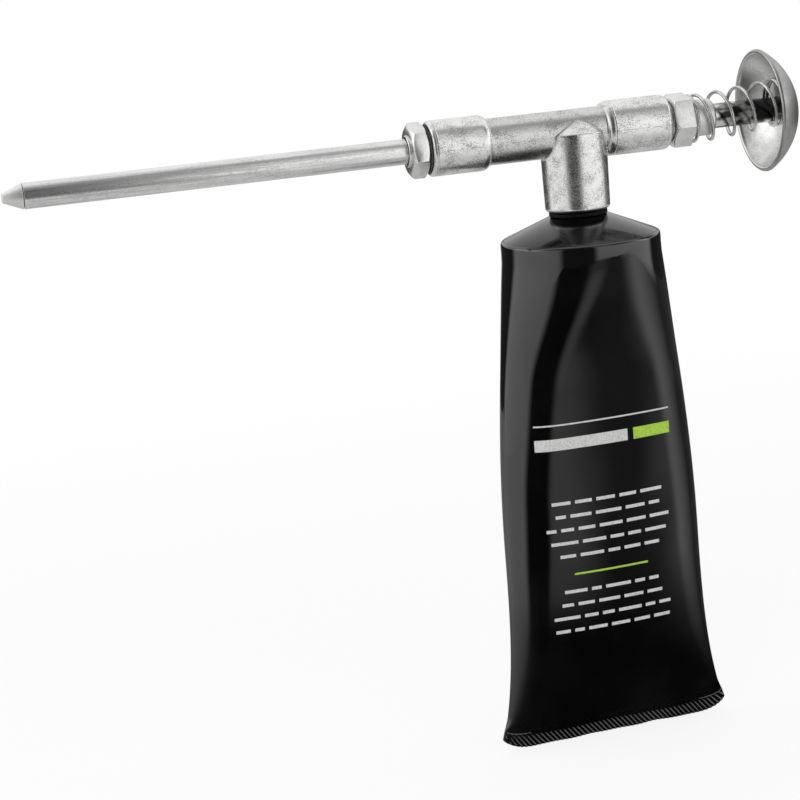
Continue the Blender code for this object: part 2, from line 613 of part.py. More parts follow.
def return_spring():
    start = GLAND_FACE_X + SEAT_GAP + SPRING_WIRE_DIA / 2
    widest = SPRING_COIL_DIA / 2 + SPRING_RISE + SPRING_WIRE_DIA / 2
    end = hollow_x(widest) - SEAT_GAP - SPRING_WIRE_DIA / 2
    closed_pitch = SPRING_WIRE_DIA + SPRING_TURN_GAP
    extra_pitch = (end - start - closed_pitch * SPRING_TURNS) / opened(SPRING_TURNS)

    def place_at(done):
        return start + closed_pitch * done + extra_pitch * opened(done)

    def rise_at(done):
        return SPRING_RISE * max(place_at(done) - SPIGOT_END_X, 0.0) / (end - SPIGOT_END_X)

    # The wire starts under the rod, at the gland's face.
    points = helix(SPRING_TURNS, SPRING_POINTS, -math.pi / 2, SPRING_COIL_DIA, place_at, rise_at)
    spring = wire("return_spring", points, SPRING_WIRE_DIA, SPRING_POINTS)
    as_part(spring, finish("spring_steel", (0.6, 0.6, 0.6), 1.0, 0.2))


def tube_ring(depth, inset):
    """One section of the squeeze tube, this far below its top: half width and half thickness."""
    round_radius = TUBE_DIA / 2
    share = max(depth - SLEEVE_ROUND_STRETCH, 0.0) / (SLEEVE_LENGTH - SLEEVE_ROUND_STRETCH)
    flat_stretch = SLEEVE_LENGTH - CRIMP_HEIGHT - SLEEVE_ROUND_STRETCH
    closing = min(max(depth - SLEEVE_ROUND_STRETCH, 0.0) / flat_stretch, 1.0)
    spread = math.pi / 2 * round_radius - round_radius - CRIMP_FLARE
    width = round_radius + spread * math.sin(math.pi / 2 * share) ** SPREAD_POWER
    width += CRIMP_FLARE * share**CRIMP_FLARE_POWER
    thickness = max(round_radius * (1 - closing) ** CLOSING_POWER, CRIMP_THICKNESS / 2)
    return width - inset, thickness - inset


def tube_loft(name, depths, inset, parent):
    """A solid through the tube's sections, drawn in by the inset."""
    mesh = bpy.data.meshes.new(name)
    shape = bmesh.new()
    rings = []
    for depth in depths:
        width, thickness = tube_ring(max(depth, 0.0), inset)
        full = max(thickness, min(EDGE_FULLNESS, thickness * CRIMP_BLUNTNESS))
        row = []
        for i in range(SLEEVE_POINTS):
            angle = 2 * math.pi * i / SLEEVE_POINTS
            y = full * math.sin(angle)
            y = math.copysign(min(abs(y), thickness), y)
            row.append(shape.verts.new((width * math.cos(angle), y, SLEEVE_TOP_Z - depth)))
        rings.append(row)
    for upper, lower in zip(rings, rings[1:]):
        for i in range(SLEEVE_POINTS):
            j = (i + 1) % SLEEVE_POINTS
            shape.faces.new((upper[i], lower[i], lower[j], upper[j]))
    shape.faces.new(rings[0])
    shape.faces.new(rings[-1][::-1])
    shape.to_mesh(mesh)
    shape.free()
    return new_object(name, mesh, parent)


def crowded(first, last, rings):
    """Depths from first to last, closer together towards the flat end."""
    depths = []
    for i in range(rings + 1):
        share = 1 - (1 - i / rings) ** RING_CROWDING
        depths.append(first + (last - first) * share)
    return depths


def squeeze_tube():
    gasket = ring(
        "neck_gasket", GASKET_LOW_Z, GASKET_TOP_Z, GASKET_DIA, NECK_SOCKET_DIA, axis="Z"
    )
    as_part(gasket, finish("gasket_rubber", (0.02, 0.02, 0.02), 0.0, 0.5))

    axis = pivot("tube_axis", TUBE_TURN)
    neck = NECK_DIA / 2
    bore = NECK_BORE_DIA / 2
    flat = HEAD_FLAT_DIA / 2
    edge = TUBE_DIA / 2 - SEAT_GAP
    skirt = SKIRT_DIA / 2
    inside = skirt - SKIRT_WALL
    round_off = (SHOULDER_ROUND, SHOULDER_ROUND)
    round_centre = (SHOULDER_Z, edge - SHOULDER_ROUND)
    shoulder = arc(round_centre, round_off, SHOULDER_TURN, math.pi / 2, ARC_STEPS)
    fall = (HEAD_FLAT_Z - shoulder[0][0]) / (shoulder[0][1] - flat)

    def under_cone(radius, wall):
        return HEAD_FLAT_Z - fall * (radius - flat) - wall * math.hypot(1.0, fall)

    outline = [(NECK_TOP_Z, bore), (NECK_TOP_Z, neck - NECK_CHAMFER)]
    outline += [(NECK_TOP_Z - NECK_CHAMFER, neck), (HEAD_FLAT_Z, neck), (HEAD_FLAT_Z, flat)]
    outline += shoulder + [(SHOULDER_Z, skirt), (SHOULDER_Z - SKIRT_DEPTH, skirt)]
    outline += [(SHOULDER_Z - SKIRT_DEPTH, inside), (under_cone(inside, HEAD_WALL), inside)]
    outline.append((under_cone(bore, HEAD_WALL), bore))
    head = turned("tube_head", outline, axis="Z", parent=axis)
    as_part(head, finish("head_plastic", (0.012, 0.012, 0.012), 0.0, 0.3))

    sleeve_depths = crowded(SLEEVE_ROUND_STRETCH, SLEEVE_LENGTH - CRIMP_HEIGHT, SLEEVE_RINGS)
    crimp_depths = [SLEEVE_LENGTH - CRIMP_HEIGHT / 2, SLEEVE_LENGTH]
    sleeve = tube_loft("tube_sleeve", [0.0] + sleeve_depths + crimp_depths, 0.0, axis)
    cavity_end = SLEEVE_LENGTH - CRIMP_HEIGHT - CAVITY_MARGIN
    cavity_depths = crowded(SLEEVE_ROUND_STRETCH, cavity_end, SLEEVE_RINGS)
    cavity = tube_loft("sleeve_cavity", [-OVERCUT] + cavity_depths, SLEEVE_WALL, axis)
    combine(sleeve, cavity, "DIFFERENCE")
    as_part(sleeve, finish("sleeve_plastic", (0.01, 0.01, 0.01), 0.0, 0.22))

    inset = SLEEVE_WALL + FIT_GAP
    grease_end = SLEEVE_LENGTH - CRIMP_HEIGHT - GREASE_MARGIN
    grease_depths = [depth for depth in cavity_depths if depth <= grease_end]
    grease = tube_loft("grease_fill", grease_depths, inset, axis)
    slug = bore - FIT_GAP
    plug = inside - FIT_GAP
    wall = HEAD_WALL + FIT_GAP
    low = SLEEVE_TOP_Z - SLEEVE_ROUND_STRETCH - OVERCUT
    outline = [(NECK_TOP_Z - FIT_GAP, 0.0), (NECK_TOP_Z - FIT_GAP, slug)]
    outline += [(under_cone(slug, wall), slug), (under_cone(plug, wall), plug)]
    outline += [(low, plug), (low, 0.0)]
    combine(grease, turned("grease_top", outline, axis="Z", parent=axis), "UNION")
    as_part(grease, finish("grease", (0.2, 0.12, 0.05), 0.0, 0.35))


tee_body()
nozzle_nut()
nozzle()
outlet_valve()
gland()
plunger()
return_spring()
squeeze_tube()
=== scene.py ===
"""Looks of the push grease gun: its fine shapes and finishes, the studio and the camera.

Lengths are in metres. The origin is where the barrel's axis crosses the tube's axis. +X runs
towards the push button, and the tube hangs along -Z with its broad face along -Y.
"""

import json
import random
from math import acos, asin, cos, exp, hypot, pi, radians, sin, sqrt, tan

import bpy
from mathutils import Matrix, Vector, noise


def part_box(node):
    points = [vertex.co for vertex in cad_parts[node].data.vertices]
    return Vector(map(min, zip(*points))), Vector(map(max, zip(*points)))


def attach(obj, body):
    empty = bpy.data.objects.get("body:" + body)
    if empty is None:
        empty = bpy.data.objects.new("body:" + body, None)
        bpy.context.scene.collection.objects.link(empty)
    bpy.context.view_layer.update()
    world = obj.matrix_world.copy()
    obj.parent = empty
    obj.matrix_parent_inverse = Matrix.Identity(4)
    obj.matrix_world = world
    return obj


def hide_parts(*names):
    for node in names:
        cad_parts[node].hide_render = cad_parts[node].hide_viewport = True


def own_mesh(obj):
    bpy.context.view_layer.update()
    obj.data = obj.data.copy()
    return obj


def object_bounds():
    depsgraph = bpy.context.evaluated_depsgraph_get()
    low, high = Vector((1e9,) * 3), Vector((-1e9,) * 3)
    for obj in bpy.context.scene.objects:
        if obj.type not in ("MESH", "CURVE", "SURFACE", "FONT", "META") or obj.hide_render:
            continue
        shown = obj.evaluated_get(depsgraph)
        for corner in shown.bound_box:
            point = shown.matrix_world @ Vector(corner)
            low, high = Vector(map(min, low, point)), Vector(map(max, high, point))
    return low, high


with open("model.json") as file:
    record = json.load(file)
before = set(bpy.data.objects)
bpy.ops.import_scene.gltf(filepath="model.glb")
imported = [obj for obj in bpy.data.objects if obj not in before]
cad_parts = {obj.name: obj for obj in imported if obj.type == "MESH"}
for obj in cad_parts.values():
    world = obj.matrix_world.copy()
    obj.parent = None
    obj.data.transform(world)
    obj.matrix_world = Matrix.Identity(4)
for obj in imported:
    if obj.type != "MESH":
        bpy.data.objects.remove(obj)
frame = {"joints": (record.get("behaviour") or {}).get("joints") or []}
cad_low, cad_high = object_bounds()

MM = 0.001

# Camera, as the photograph was taken
IMAGE_PIXELS = 800
FOCAL_PIXELS = 2242.1
SENSOR_WIDTH = 36.0
CAMERA_AZIMUTH = radians(-13.44)
CAMERA_ELEVATION = radians(12.02)
CAMERA_ROLL = radians(-5.25)
CAMERA_DISTANCE = 556.3 * MM
CAMERA_TARGET = Vector((-49.89, 0.0, -60.99)) * MM
CAMERA_CLIP = 10.0 * MM

# Fits
FIT_GAP = 0.3 * MM
SEAT_GAP = 0.2 * MM
OVERCUT = 2.0 * MM

# Tee
BARREL_RADIUS = 5.75 * MM
COLLAR_RADIUS = 6.85 * MM
FRONT_COLLAR_LENGTH = 14.8 * MM
REAR_COLLAR_LENGTH = 16.8 * MM
COLLAR_RUN_OUT = 1.8 * MM
FRONT_COLLAR_EDGE = 0.8 * MM
REAR_COLLAR_EDGE = 1.3 * MM
COLLAR_GROOVE_WIDTH = 0.36 * MM
COLLAR_GROOVE_DEPTH = 0.2 * MM
SOCKET_RADIUS = 8.1 * MM
SOCKET_DRAFT = radians(0.8)
SOCKET_EDGE = 0.9 * MM
ROOF_ANGLE = radians(42.0)
CYLINDER_RADIUS = 4.0 * MM
UNION_RADIUS = 5.1 * MM
INLET_RADIUS = 2.5 * MM
NECK_SOCKET_RADIUS = 5.8 * MM
NECK_END_GAP = 0.7 * MM
CAST_VOXEL = 0.21 * MM
CAST_SMOOTHING = 4
CAST_SMOOTH_SHARE = 0.5
CAST_FLOW = (0.65, 1.0, 1.0)  # marks run out along the barrel

# Hexes
HEX_ACROSS_FLATS = 12.0 * MM
HEX_CHAMFER_ANGLE = radians(30.0)
NUT_CHAMFER_INSET = 0.45 * MM
GLAND_CHAMFER_INSET = 0.35 * MM
HEX_SIDES = 6
NUT_HEX_LENGTH = 3.9 * MM
NUT_TILT = radians(11.0)
NUT_BOSS_RADIUS = 3.9 * MM
NUT_BOSS_CHAMFER = 0.15 * MM
NUT_BOSS_LENGTH = 0.5 * MM
NUT_SEAT_RADIUS = 3.4 * MM
NUT_SEAT_DEPTH = 7.2 * MM
BALL_CHAMBER_RADIUS = 2.9 * MM
NUT_WEB = 1.6 * MM
NUT_EDGE = 0.16 * MM
WASHER_SQUEEZE = 0.35 * MM  # how far the tightened nut has pressed its washer
GLAND_HEX_LENGTH = 5.2 * MM
GLAND_TILT = radians(18.0)
GLAND_EDGE = 0.1 * MM
SPIGOT_RADIUS = 4.6 * MM
SPIGOT_START = 30.2 * MM
SPIGOT_LENGTH = 6.3 * MM
SPIGOT_CHAMFER = 0.5 * MM
ROD_BORE_RADIUS = 3.4 * MM
SHANK_RADIUS = 4.8 * MM
SHANK_THREAD_PITCH = 1.0 * MM
SHANK_THREAD_DEPTH = 0.45 * MM
SHANK_PROFILE = ((0.0, 0), (0.3, 0), (0.45, 1), (0.85, 1))  # shares of the pitch and the depth

# Nozzle
NOZZLE_BORE_RADIUS = 1.7 * MM
NOZZLE_EDGE = 0.12 * MM
TIP_LENGTH = 4.8 * MM
TIP_FLAT_RADIUS = 1.1 * MM
TIP_HOLE_RADIUS = 0.5 * MM
TIP_EDGE = 0.175 * MM

# Plunger
ROD_RADIUS = 3.1 * MM
ROD_REACH = 56.9 * MM
ROD_EDGE = 0.15 * MM
ROD_DARKENING = (38.0 * MM, 50.0 * MM)
TENON_RADIUS = 2.0 * MM
HEAD_RADIUS = 3.7 * MM
HEAD_LAND = 1.75 * MM
HEAD_CHAMFER = 0.6 * MM
GROOVE_RADIUS = 2.3 * MM
GROOVE_LENGTH = 1.7 * MM
BUTTON_RADIUS = 15.4 * MM
BUTTON_DEPTH = 7.1 * MM
BUTTON_SHEET = 1.0 * MM
HOLLOW_TONE_MARGIN = 0.2 * MM  # how far past the hollow its lighter tone reaches; beyond it the outside is darkened as painted shade
OUTSIDE_SHADE_FADE = 0.3 * MM
BUTTON_CROWN = 1.5 * MM  # thickness at the middle of the dome

# Springs
SPRING_WIRE = 0.9 * MM
SPRING_COIL = 11.4 * MM
SPRING_TURNS = 6.1
SPRING_START = 0.15  # turns from the back edge to the wire's first end
SPRING_FRONT_TURNS = 0.68  # closed turns at the gland
SPRING_REAR_TURNS = 1.3  # closed turns at the button
SPRING_RAMP_TURNS = 0.3
SPRING_TURN_GAP = 0.05 * MM
SPRING_RISE = 1.75 * MM
SPRING_LEAN = 0.3 * MM
SPRING_LEAN_START = 0.4  # turns from either end
CHECK_WIRE = 0.5 * MM
CHECK_COIL = 3.5 * MM
CHECK_TURNS = 3.5
WIRE_STEPS = 4

# Valve and seals
VALVE_HOLE_RADIUS = 1.6 * MM
VALVE_MOUTH_RADIUS = 2.6 * MM
VALVE_CONE_DEPTH = 1.2 * MM
VALVE_EDGE = 0.08 * MM
WASHER_EDGE = 0.1 * MM
PACKING_EDGE = 0.3 * MM
GASKET_EDGE = 0.25 * MM

# Squeeze tube
TUBE_TURN = radians(3.4)
TUBE_RADIUS = 20.0 * MM
NECK_RADIUS = 5.5 * MM
NECK_BORE_RADIUS = 3.0 * MM
NECK_LENGTH = 11.6 * MM
NECK_THREAD_PITCH = 2.0 * MM
NECK_THREAD_DEPTH = 0.6 * MM
NECK_THREAD_TURNS = 4
NECK_PROFILE = ((0.1, 0), (0.3, 1), (0.5, 1), (0.7, 0))  # shares of the pitch, and root or crest
HEAD_FLAT_RADIUS = 7.7 * MM
SHOULDER_LEAN = radians(23.0)  # slope of the shoulder, where the sleeve's lip takes over
SEAM_GAP = 0.05 * MM
SEAM_DROP = 0.4 * MM
HEAD_WALL = 1.6 * MM
HEAD_EDGE = 0.12 * MM
TOOL_RING_PITCH = 0.55 * MM
SKIRT_DEPTH = 3.2 * MM
SKIRT_WALL = 1.2 * MM
SLEEVE_WALL = 0.7 * MM
SLEEVE_ROUND_STRETCH = 4.5 * MM
CRIMP_HEIGHT = 3.4 * MM
CRIMP_THICKNESS = 1.3 * MM
EAR_STRETCH = 64.0 * MM
EAR_POWER = 4
EAR_PEAK = 0.6  # how far down the crimp the ears are widest
EAR_TUCK = 1.5 * MM
EAR_LIFT = 4.5 * MM
EAR_RISE = 1.7 * MM
EAR_RISE_POWER = 14
ROLL_HEIGHT = 0.35 * MM
ROLL_LENGTH = 0.9 * MM
ROLL_LEAST = 0.3
SAG_HEIGHT = 0.25 * MM
SAG_WIDTH = 15.0 * MM
SAG_LENGTH = 19.0 * MM
SPREAD_REACH = 6.4 * MM
SPREAD_STRETCH = 75.0 * MM
CLOSING_POWER = 0.55
CAVITY_MARGIN = 1.2 * MM
GREASE_MARGIN = 4.0 * MM
RIB_PITCH = 1.25 * MM
RIB_SLANT = 0.8
RIB_HEIGHT = 0.24 * MM
RIB_BLUNTING = 1.8
RIB_RAMP = 6
CRIMP_WAVE = 0.4 * MM
CRIMP_WAVE_LENGTH = 7.0 * MM
CRIMP_WAVE_ROW = 3.7  # which row of the noise the wave follows
PANEL_BOW = 3.0 * MM
PANEL_BOW_POWER = 0.6
SQUEEZE = 0.31  # how much thinner the tube is where it has been pressed flat
SQUEEZE_START = 30.0 * MM
SQUEEZE_HOLD = 40.0 * MM
SQUEEZE_END = 90.0 * MM
TOP_EDGE = 1.1 * MM
SLEEVE_AROUND = 720
SLEEVE_ROWS = 72
CRIMP_ROWS = 24
CAVITY_ROWS = 14
RING_CROWDING = 1.5
SLEEVE_SHARP_ANGLE = radians(60.0)

# Facets
ROUND_STEPS = 96
SMALL_STEPS = 64
ARC_STEPS = 8
DOME_STEPS = 36
EDGE_STEPS = 3
SHARP_ANGLE = radians(35.0)
MERGE = 0.002 * MM

# Print
PRINT_MIDDLE = -1.0 * MM
PRINT_REACH = 18.0 * MM
PRINT_SPLIT = 7.0 * MM
PRINT_GAUGE = 0.05 * MM
PRINT_STEP = 1.5 * MM
PRINT_SEED = 11
BAR_ROWS = ((-70.6 * MM, 0.4 * MM), (-75.6 * MM, 3.0 * MM))  # place and height
BAR_GAP = 0.8 * MM
RULE_INSET = 8.0 * MM
RULE_HEIGHT = 0.5 * MM
RULE_RISE = 1.3  # rows of text above the second block
TEXT_PITCH = 3.5 * MM
TEXT_HEIGHT = 0.85 * MM
TEXT_BLOCKS = ((-91.0, 5), (-114.5, 4))  # height of the first row in mm, and rows
TEXT_REACH = (26.0, 34.0)
WORD_LENGTHS = (2.2, 7.0)
WORD_GAP = 1.2

# Studio
FLOOR_LOW = Vector((-500.0, -520.0)) * MM
FLOOR_HIGH = Vector((600.0, 530.0)) * MM
FLOOR_FADE = 400.0 * MM
FLOOR_DROP = 0.4 * MM
FLOOR_PAINT = (0.9, 0.9, 0.9, 1.0)
SHADOW_SHARE = 0.15
BANK_EDGE = 6  # degrees
LAMP_SIZE = 0.6
LAMP_POWER = 4.0
LAMP_PLACE = Vector((-0.45, -0.7, 0.75))


class Signal:
    """A socket in a node tree that takes part in plain arithmetic."""

    def __init__(self, tree, socket):
        self.tree = tree
        self.socket = socket

    def node(self, kind, settings=None, sockets=None, output=0):
        """Any node: its settings first, then the values or signals of its sockets."""
        made = self.tree.nodes.new(kind)
        for name, value in (settings or {}).items():
            setattr(made, name, value)
        for name, value in (sockets or {}).items():
            if isinstance(value, Signal):
                self.tree.links.new(value.socket, made.inputs[name])
            else:
                made.inputs[name].default_value = value
        return Signal(self.tree, made.outputs[output])

    def math(self, operation, *values):
        return self.node("ShaderNodeMath", {"operation": operation}, dict(enumerate(values)))

    def __add__(self, other):
        return self.math("ADD", self, other)

    def __radd__(self, other):
        return self.math("ADD", other, self)

    def __sub__(self, other):
        return self.math("SUBTRACT", self, other)

    def __rsub__(self, other):
        return self.math("SUBTRACT", other, self)

    def __mul__(self, other):
        return self.math("MULTIPLY", self, other)

    def __rmul__(self, other):
        return self.math("MULTIPLY", other, self)

    def __neg__(self):
        return self.math("MULTIPLY", self, -1.0)

    def __abs__(self):
        return self.math("ABSOLUTE", self)

    def most(self, other):
        return self.math("MAXIMUM", self, other)


def ease(value, low, high):
    """Rises smoothly from 0 at low to 1 at high."""
    settings = {"interpolation_type": "SMOOTHSTEP"}
    return value.node("ShaderNodeMapRange", settings, {"Value": value, "From Min": low, "From Max": high})


def window(value, low, high, edge):
    """1 between low and high, with soft edges."""
    return ease(value, low - edge, low + edge) * (1 - ease(value, high - edge, high + edge))


def tint(share, low, high):
    """A colour from low to high by the share."""
    settings = {"data_type": "RGBA"}
    return share.node("ShaderNodeMix", settings, {0: share, 6: (*low, 1), 7: (*high, 1)}, output=2)


def parts_of(place, axes):
    """The parts of a place along the named axes."""
    ways = {"x": (1, 0, 0), "y": (0, 1, 0), "z": (0, 0, 1)}
    settings = {"operation": "DOT_PRODUCT"}
    return [place.node("ShaderNodeVectorMath", settings, {0: place, 1: ways[axis]}, 1) for axis in axes]


def distance(first, *others):
    """Length of the line with these parts."""
    squares = first * first
    for other in others:
        squares = squares + other * other
    return squares.math("SQRT", squares)


def azimuth_of(x, y):
    """Degrees round the object, to the right from the photograph's camera."""
    angle = x.math("ARCTAN2", x, -y) - CAMERA_AZIMUTH
    angle = angle.math("WRAP", angle, pi, -pi)
    return angle.math("DEGREES", angle)


def rays_of(tree, *kinds):
    """For each kind of ray, 1 if the one that looks is of that kind."""
    path = tree.nodes.new("ShaderNodeLightPath")
    return [Signal(tree, path.outputs[kind]) for kind in kinds]


class Finish:
    """A material: constants on the shader's own sockets, and signals that vary over the surface."""

    def __init__(self, name, **constants):
        self.material = bpy.data.materials.new(name)
        self.material.use_nodes = True
        self.tree = self.material.node_tree
        self.shader = self.tree.nodes["Principled BSDF"]
        for key, value in constants.items():
            self.shader.inputs[key.replace("_", " ").title().replace("Ior", "IOR")].default_value = value
        coordinates = self.tree.nodes.new("ShaderNodeTexCoord")
        self.place = Signal(self.tree, coordinates.outputs["Object"])

    def speckle(self, size, detail=2.0, roughness=0.5, stretch=None):
        """Noise whose features have this size in mm, divided along each axis by the stretch."""
        place = self.place
        if stretch:
            settings = {"operation": "MULTIPLY"}
            place = place.node("ShaderNodeVectorMath", settings, {0: place, 1: stretch})
        sockets = {"Vector": place, "Scale": 1 / (size * MM), "Detail": detail, "Roughness": roughness}
        return place.node("ShaderNodeTexNoise", None, sockets)

    def feed(self, socket, signal):
        self.tree.links.new(signal.socket, self.shader.inputs[socket])

    def bump(self, height, depth):
        """Raises the surface by the height signal times the depth in mm."""
        sockets = {"Height": height, "Distance": depth * MM, "Strength": 1.0}
        self.feed("Normal", height.node("ShaderNodeBump", None, sockets))

    def painted(self, colour, roughness, height, depth):
        """The material, with what varies over its surface."""
        self.feed("Base Color", colour)
        self.feed("Roughness", roughness)
        self.bump(height, depth)
        return self.material


def cast_zinc():
    """Tumbled die casting: a smooth bright skin with fine dark pits in drifts and a parting line."""
    look = Finish("cast_zinc", metallic=1.0)
    y, z = parts_of(look.place, "yz")
    drifts = look.speckle(3.0, 3.0, 0.6, CAST_FLOW)
    pits = look.speckle(0.24, 2.0, 0.7, CAST_FLOW)
    sheen = look.speckle(0.8, 4.0, 0.65, CAST_FLOW)
    pitted = ease(0.6 * pits + 0.4 * drifts, 0.47, 0.63)
    ragged = (look.speckle(1.5) - 0.5) * (0.35 * MM)
    parting = 1 - ease(abs(z + 0.3 * MM + ragged), 0.04 * MM, 0.16 * MM)
    parting = parting * ease(look.speckle(3.5), 0.46, 0.6)
    rubbed = ease(distance(y, z), BARREL_RADIUS + 0.15 * MM, COLLAR_RADIUS - 0.35 * MM)
    bright = (0.88 + 0.12 * ease(sheen, 0.32, 0.6)) * (1 - 0.5 * pitted) * (1 - 0.5 * parting)
    bright = bright * (0.8 + 0.2 * rubbed)
    colour = tint(bright, (0.08, 0.08, 0.08), (0.93, 0.928, 0.92))
    roughness = 0.25 + 0.2 * pitted - 0.04 * rubbed
    return look.painted(colour, roughness, 0.3 * sheen - 0.5 * pitted - 0.4 * parting, 0.02)


def nickel_plate():
    """Bright plating with fine turning marks and small knocks, duller on the gland's spigot."""
    look = Finish("nickel_plate", metallic=1.0)
    (x,) = parts_of(look.place, "x")
    spigot = ease(x, SPIGOT_START, SPIGOT_START + 0.2 * MM)
    marks = look.speckle(3.0, 3.0, 0.6, stretch=(30.0, 1.0, 1.0))
    knocks = look.speckle(0.45, 2.0, 0.6)
    clouds = look.speckle(4.0)
    wear = ease(0.4 * knocks + 0.6 * clouds, 0.35, 0.6)
    colour = tint(wear, (0.76, 0.76, 0.75), (0.87, 0.868, 0.86))
    return look.painted(colour, 0.36 - 0.1 * wear + 0.16 * spigot, 0.6 * marks + 0.4 * knocks, 0.006)


def drawn_steel():
    """Drawn tube: streaks along its length, a light grain and small dark flecks in drifts."""
    look = Finish("drawn_steel", metallic=1.0)
    streaks = look.speckle(0.45, 3.0, 0.65, stretch=(0.025, 1.0, 1.0))
    broad = look.speckle(1.6, stretch=(0.05, 1.0, 1.0))
    grain = look.speckle(0.5, 2.0, 0.7)
    flecks = look.speckle(0.3, 3.0, 0.75, stretch=(0.3, 1.0, 1.0))
    flecks = ease(0.65 * flecks + 0.35 * look.speckle(7.0), 0.53, 0.62)
    bright = ease(0.45 * streaks + 0.3 * broad + 0.25 * grain, 0.34, 0.62) * (1 - 0.8 * flecks)
    colour = tint(bright, (0.64, 0.64, 0.638), (0.97, 0.968, 0.96))
    return look.painted(colour, 0.38 - 0.14 * bright, 0.7 * streaks + 0.3 * grain, 0.01)


def turned_steel():
    """The cone: rings left by the lathe."""
    look = Finish("turned_steel", metallic=1.0)
    rings = look.speckle(0.18, 2.0, 0.6, stretch=(1.0, 0.02, 0.02))
    grain = look.speckle(0.6, 2.0, 0.6)
    bright = ease(0.5 * rings + 0.5 * grain, 0.35, 0.62)
    colour = tint(bright, (0.88, 0.88, 0.87), (0.97, 0.968, 0.96))
    return look.painted(colour, 0.56 - 0.1 * bright, rings, 0.005)


def polished_rod():
    """Blackened rod, rubbed bright in patches towards the gland."""
    look = Finish("polished_rod", metallic=1.0)
    (x,) = parts_of(look.place, "x")
    film = look.speckle(3.2, stretch=(0.6, 1.0, 1.0))
    scuffs = look.speckle(0.3, 2.0, 0.6, stretch=(0.08, 1.0, 1.0))
    rubbed = ease(film - 0.2 * ease(x, *ROD_DARKENING), 0.38, 0.56)
    colour = tint(rubbed, (0.03, 0.03, 0.031), (0.78, 0.778, 0.77))
    return look.painted(colour, 0.12 + 0.12 * scuffs, scuffs, 0.004)


def pressed_nickel(middle, radius):
    """Pressed button: brushed grey outside the given sphere and darkened there as painted shade, lighter in
    the hollow.
    """
    look = Finish("pressed_nickel", metallic=1.0)
    clouds = look.speckle(5.0, 3.0, 0.55)
    grain = look.speckle(0.4, 2.0, 0.6)
    scratches = look.speckle(0.5, 2.0, 0.6, stretch=(1.0, 0.06, 1.0))
    bright = ease(0.5 * clouds + 0.3 * grain + 0.2 * scratches, 0.36, 0.62)
    x, y, z = parts_of(look.place, "xyz")
    # Outside the hollow the colour is darkened as painted shade, and the roughness rises there for real
    # brushing
    outside = ease(distance(x - middle, y, z), radius, radius + OUTSIDE_SHADE_FADE)
    tone_with_painted_shade = (0.72 + 0.28 * bright) * (1 - 0.38 * outside)
    colour = tint(tone_with_painted_shade, (0.0, 0.0, 0.0), (0.77, 0.767, 0.758))
    roughness = 0.38 - 0.08 * bright + 0.06 * outside
    return look.painted(colour, roughness, 0.6 * grain + 0.4 * scratches, 0.006)


def spring_wire():
    """Bright drawn wire with a faint grain."""
    look = Finish("spring_wire", metallic=1.0)
    grain = look.speckle(0.35, 2.0, 0.6)
    clouds = look.speckle(2.5)
    bright = ease(0.5 * grain + 0.5 * clouds, 0.36, 0.62)
    colour = tint(bright, (0.46, 0.46, 0.455), (0.76, 0.757, 0.75))
    return look.painted(colour, 0.3 - 0.1 * bright, grain, 0.006)


def turned_brass():
    """Brass with rings left by the lathe and some tarnish."""
    look = Finish("turned_brass", metallic=1.0)
    rings = look.speckle(0.2, stretch=(1.0, 0.05, 0.05))
    tarnish = ease(look.speckle(1.5, 3.0), 0.35, 0.65)
    colour = tint(tarnish, (0.5, 0.32, 0.11), (0.78, 0.56, 0.25))
    return look.painted(colour, 0.42 - 0.14 * tarnish, rings, 0.01)


def seal_rubber():
    """Black rubber with a dusty bloom."""
    look = Finish("seal_rubber", specular_ior_level=0.12)
    grain = look.speckle(0.25, 3.0, 0.6)
    bloom = ease(look.speckle(1.8, 3.0), 0.4, 0.7)
    colour = tint(bloom, (0.004, 0.004, 0.004), (0.011, 0.011, 0.012))
    return look.painted(colour, 0.5 + 0.25 * bloom, grain, 0.012)


def pressed_fibre():
    """Dark grey fibre with short hairs."""
    look = Finish("pressed_fibre", specular_ior_level=0.3)
    hairs = look.speckle(0.2, 3.0, 0.7, stretch=(0.3, 1.0, 1.0))
    colour = tint(ease(hairs, 0.3, 0.7), (0.05, 0.05, 0.05), (0.12, 0.12, 0.12))
    return look.painted(colour, 0.6 + 0.25 * hairs, hairs, 0.02)


def soft_grease():
    """Amber paste with swirls."""
    look = Finish("soft_grease", coat_weight=0.3)
    swirl = look.speckle(6.0, 4.0, 0.55, stretch=(1.0, 1.0, 0.4))
    colour = tint(ease(swirl, 0.35, 0.65), (0.11, 0.06, 0.022), (0.27, 0.16, 0.065))
    return look.painted(colour, 0.25 + 0.2 * swirl, swirl, 0.4)


def gloss_black():
    """Blow-moulded black sleeve: deep gloss over the faintest ripple, with a little haze in places."""
    look = Finish("gloss_black", roughness=0.0, ior=1.8, coat_roughness=0.25)
    ripple = look.speckle(9.0, stretch=(1.0, 1.0, 0.6))
    peel = look.speckle(0.8)
    haze = ease(look.speckle(22.0, 3.0, 0.6), 0.35, 0.7)
    look.feed("Base Color", tint(haze, (0.0012, 0.0012, 0.0012), (0.0026, 0.0026, 0.0026)))
    look.feed("Coat Weight", 0.02 + 0.06 * haze)
    look.bump(0.9 * ripple + 0.1 * peel, 0.02)
    return look.material


def moulded_black():
    """Injection-moulded shoulder: the same black, a little duller, with rings from its tool."""
    look = Finish("moulded_black", ior=1.5)
    phase = distance(*parts_of(look.place, "xy")) * (2 * pi / TOOL_RING_PITCH)
    rings = phase.math("SINE", phase)
    grain = look.speckle(0.5, 2.0, 0.6)
    haze = ease(look.speckle(7.0, 3.0, 0.6), 0.35, 0.7)
    colour = tint(haze, (0.002, 0.002, 0.002), (0.004, 0.004, 0.004))
    return look.painted(colour, 0.1 + 0.04 * haze, 0.25 * rings + 0.75 * grain, 0.003)


def printed_ink(name, low, high):
    """Screen-printed ink with slightly uneven cover."""
    look = Finish(name)
    cover = look.speckle(0.4, 2.0, 0.6)
    return look.painted(tint(ease(cover, 0.3, 0.6), low, high), 0.35 + 0.15 * cover, cover, 0.008)


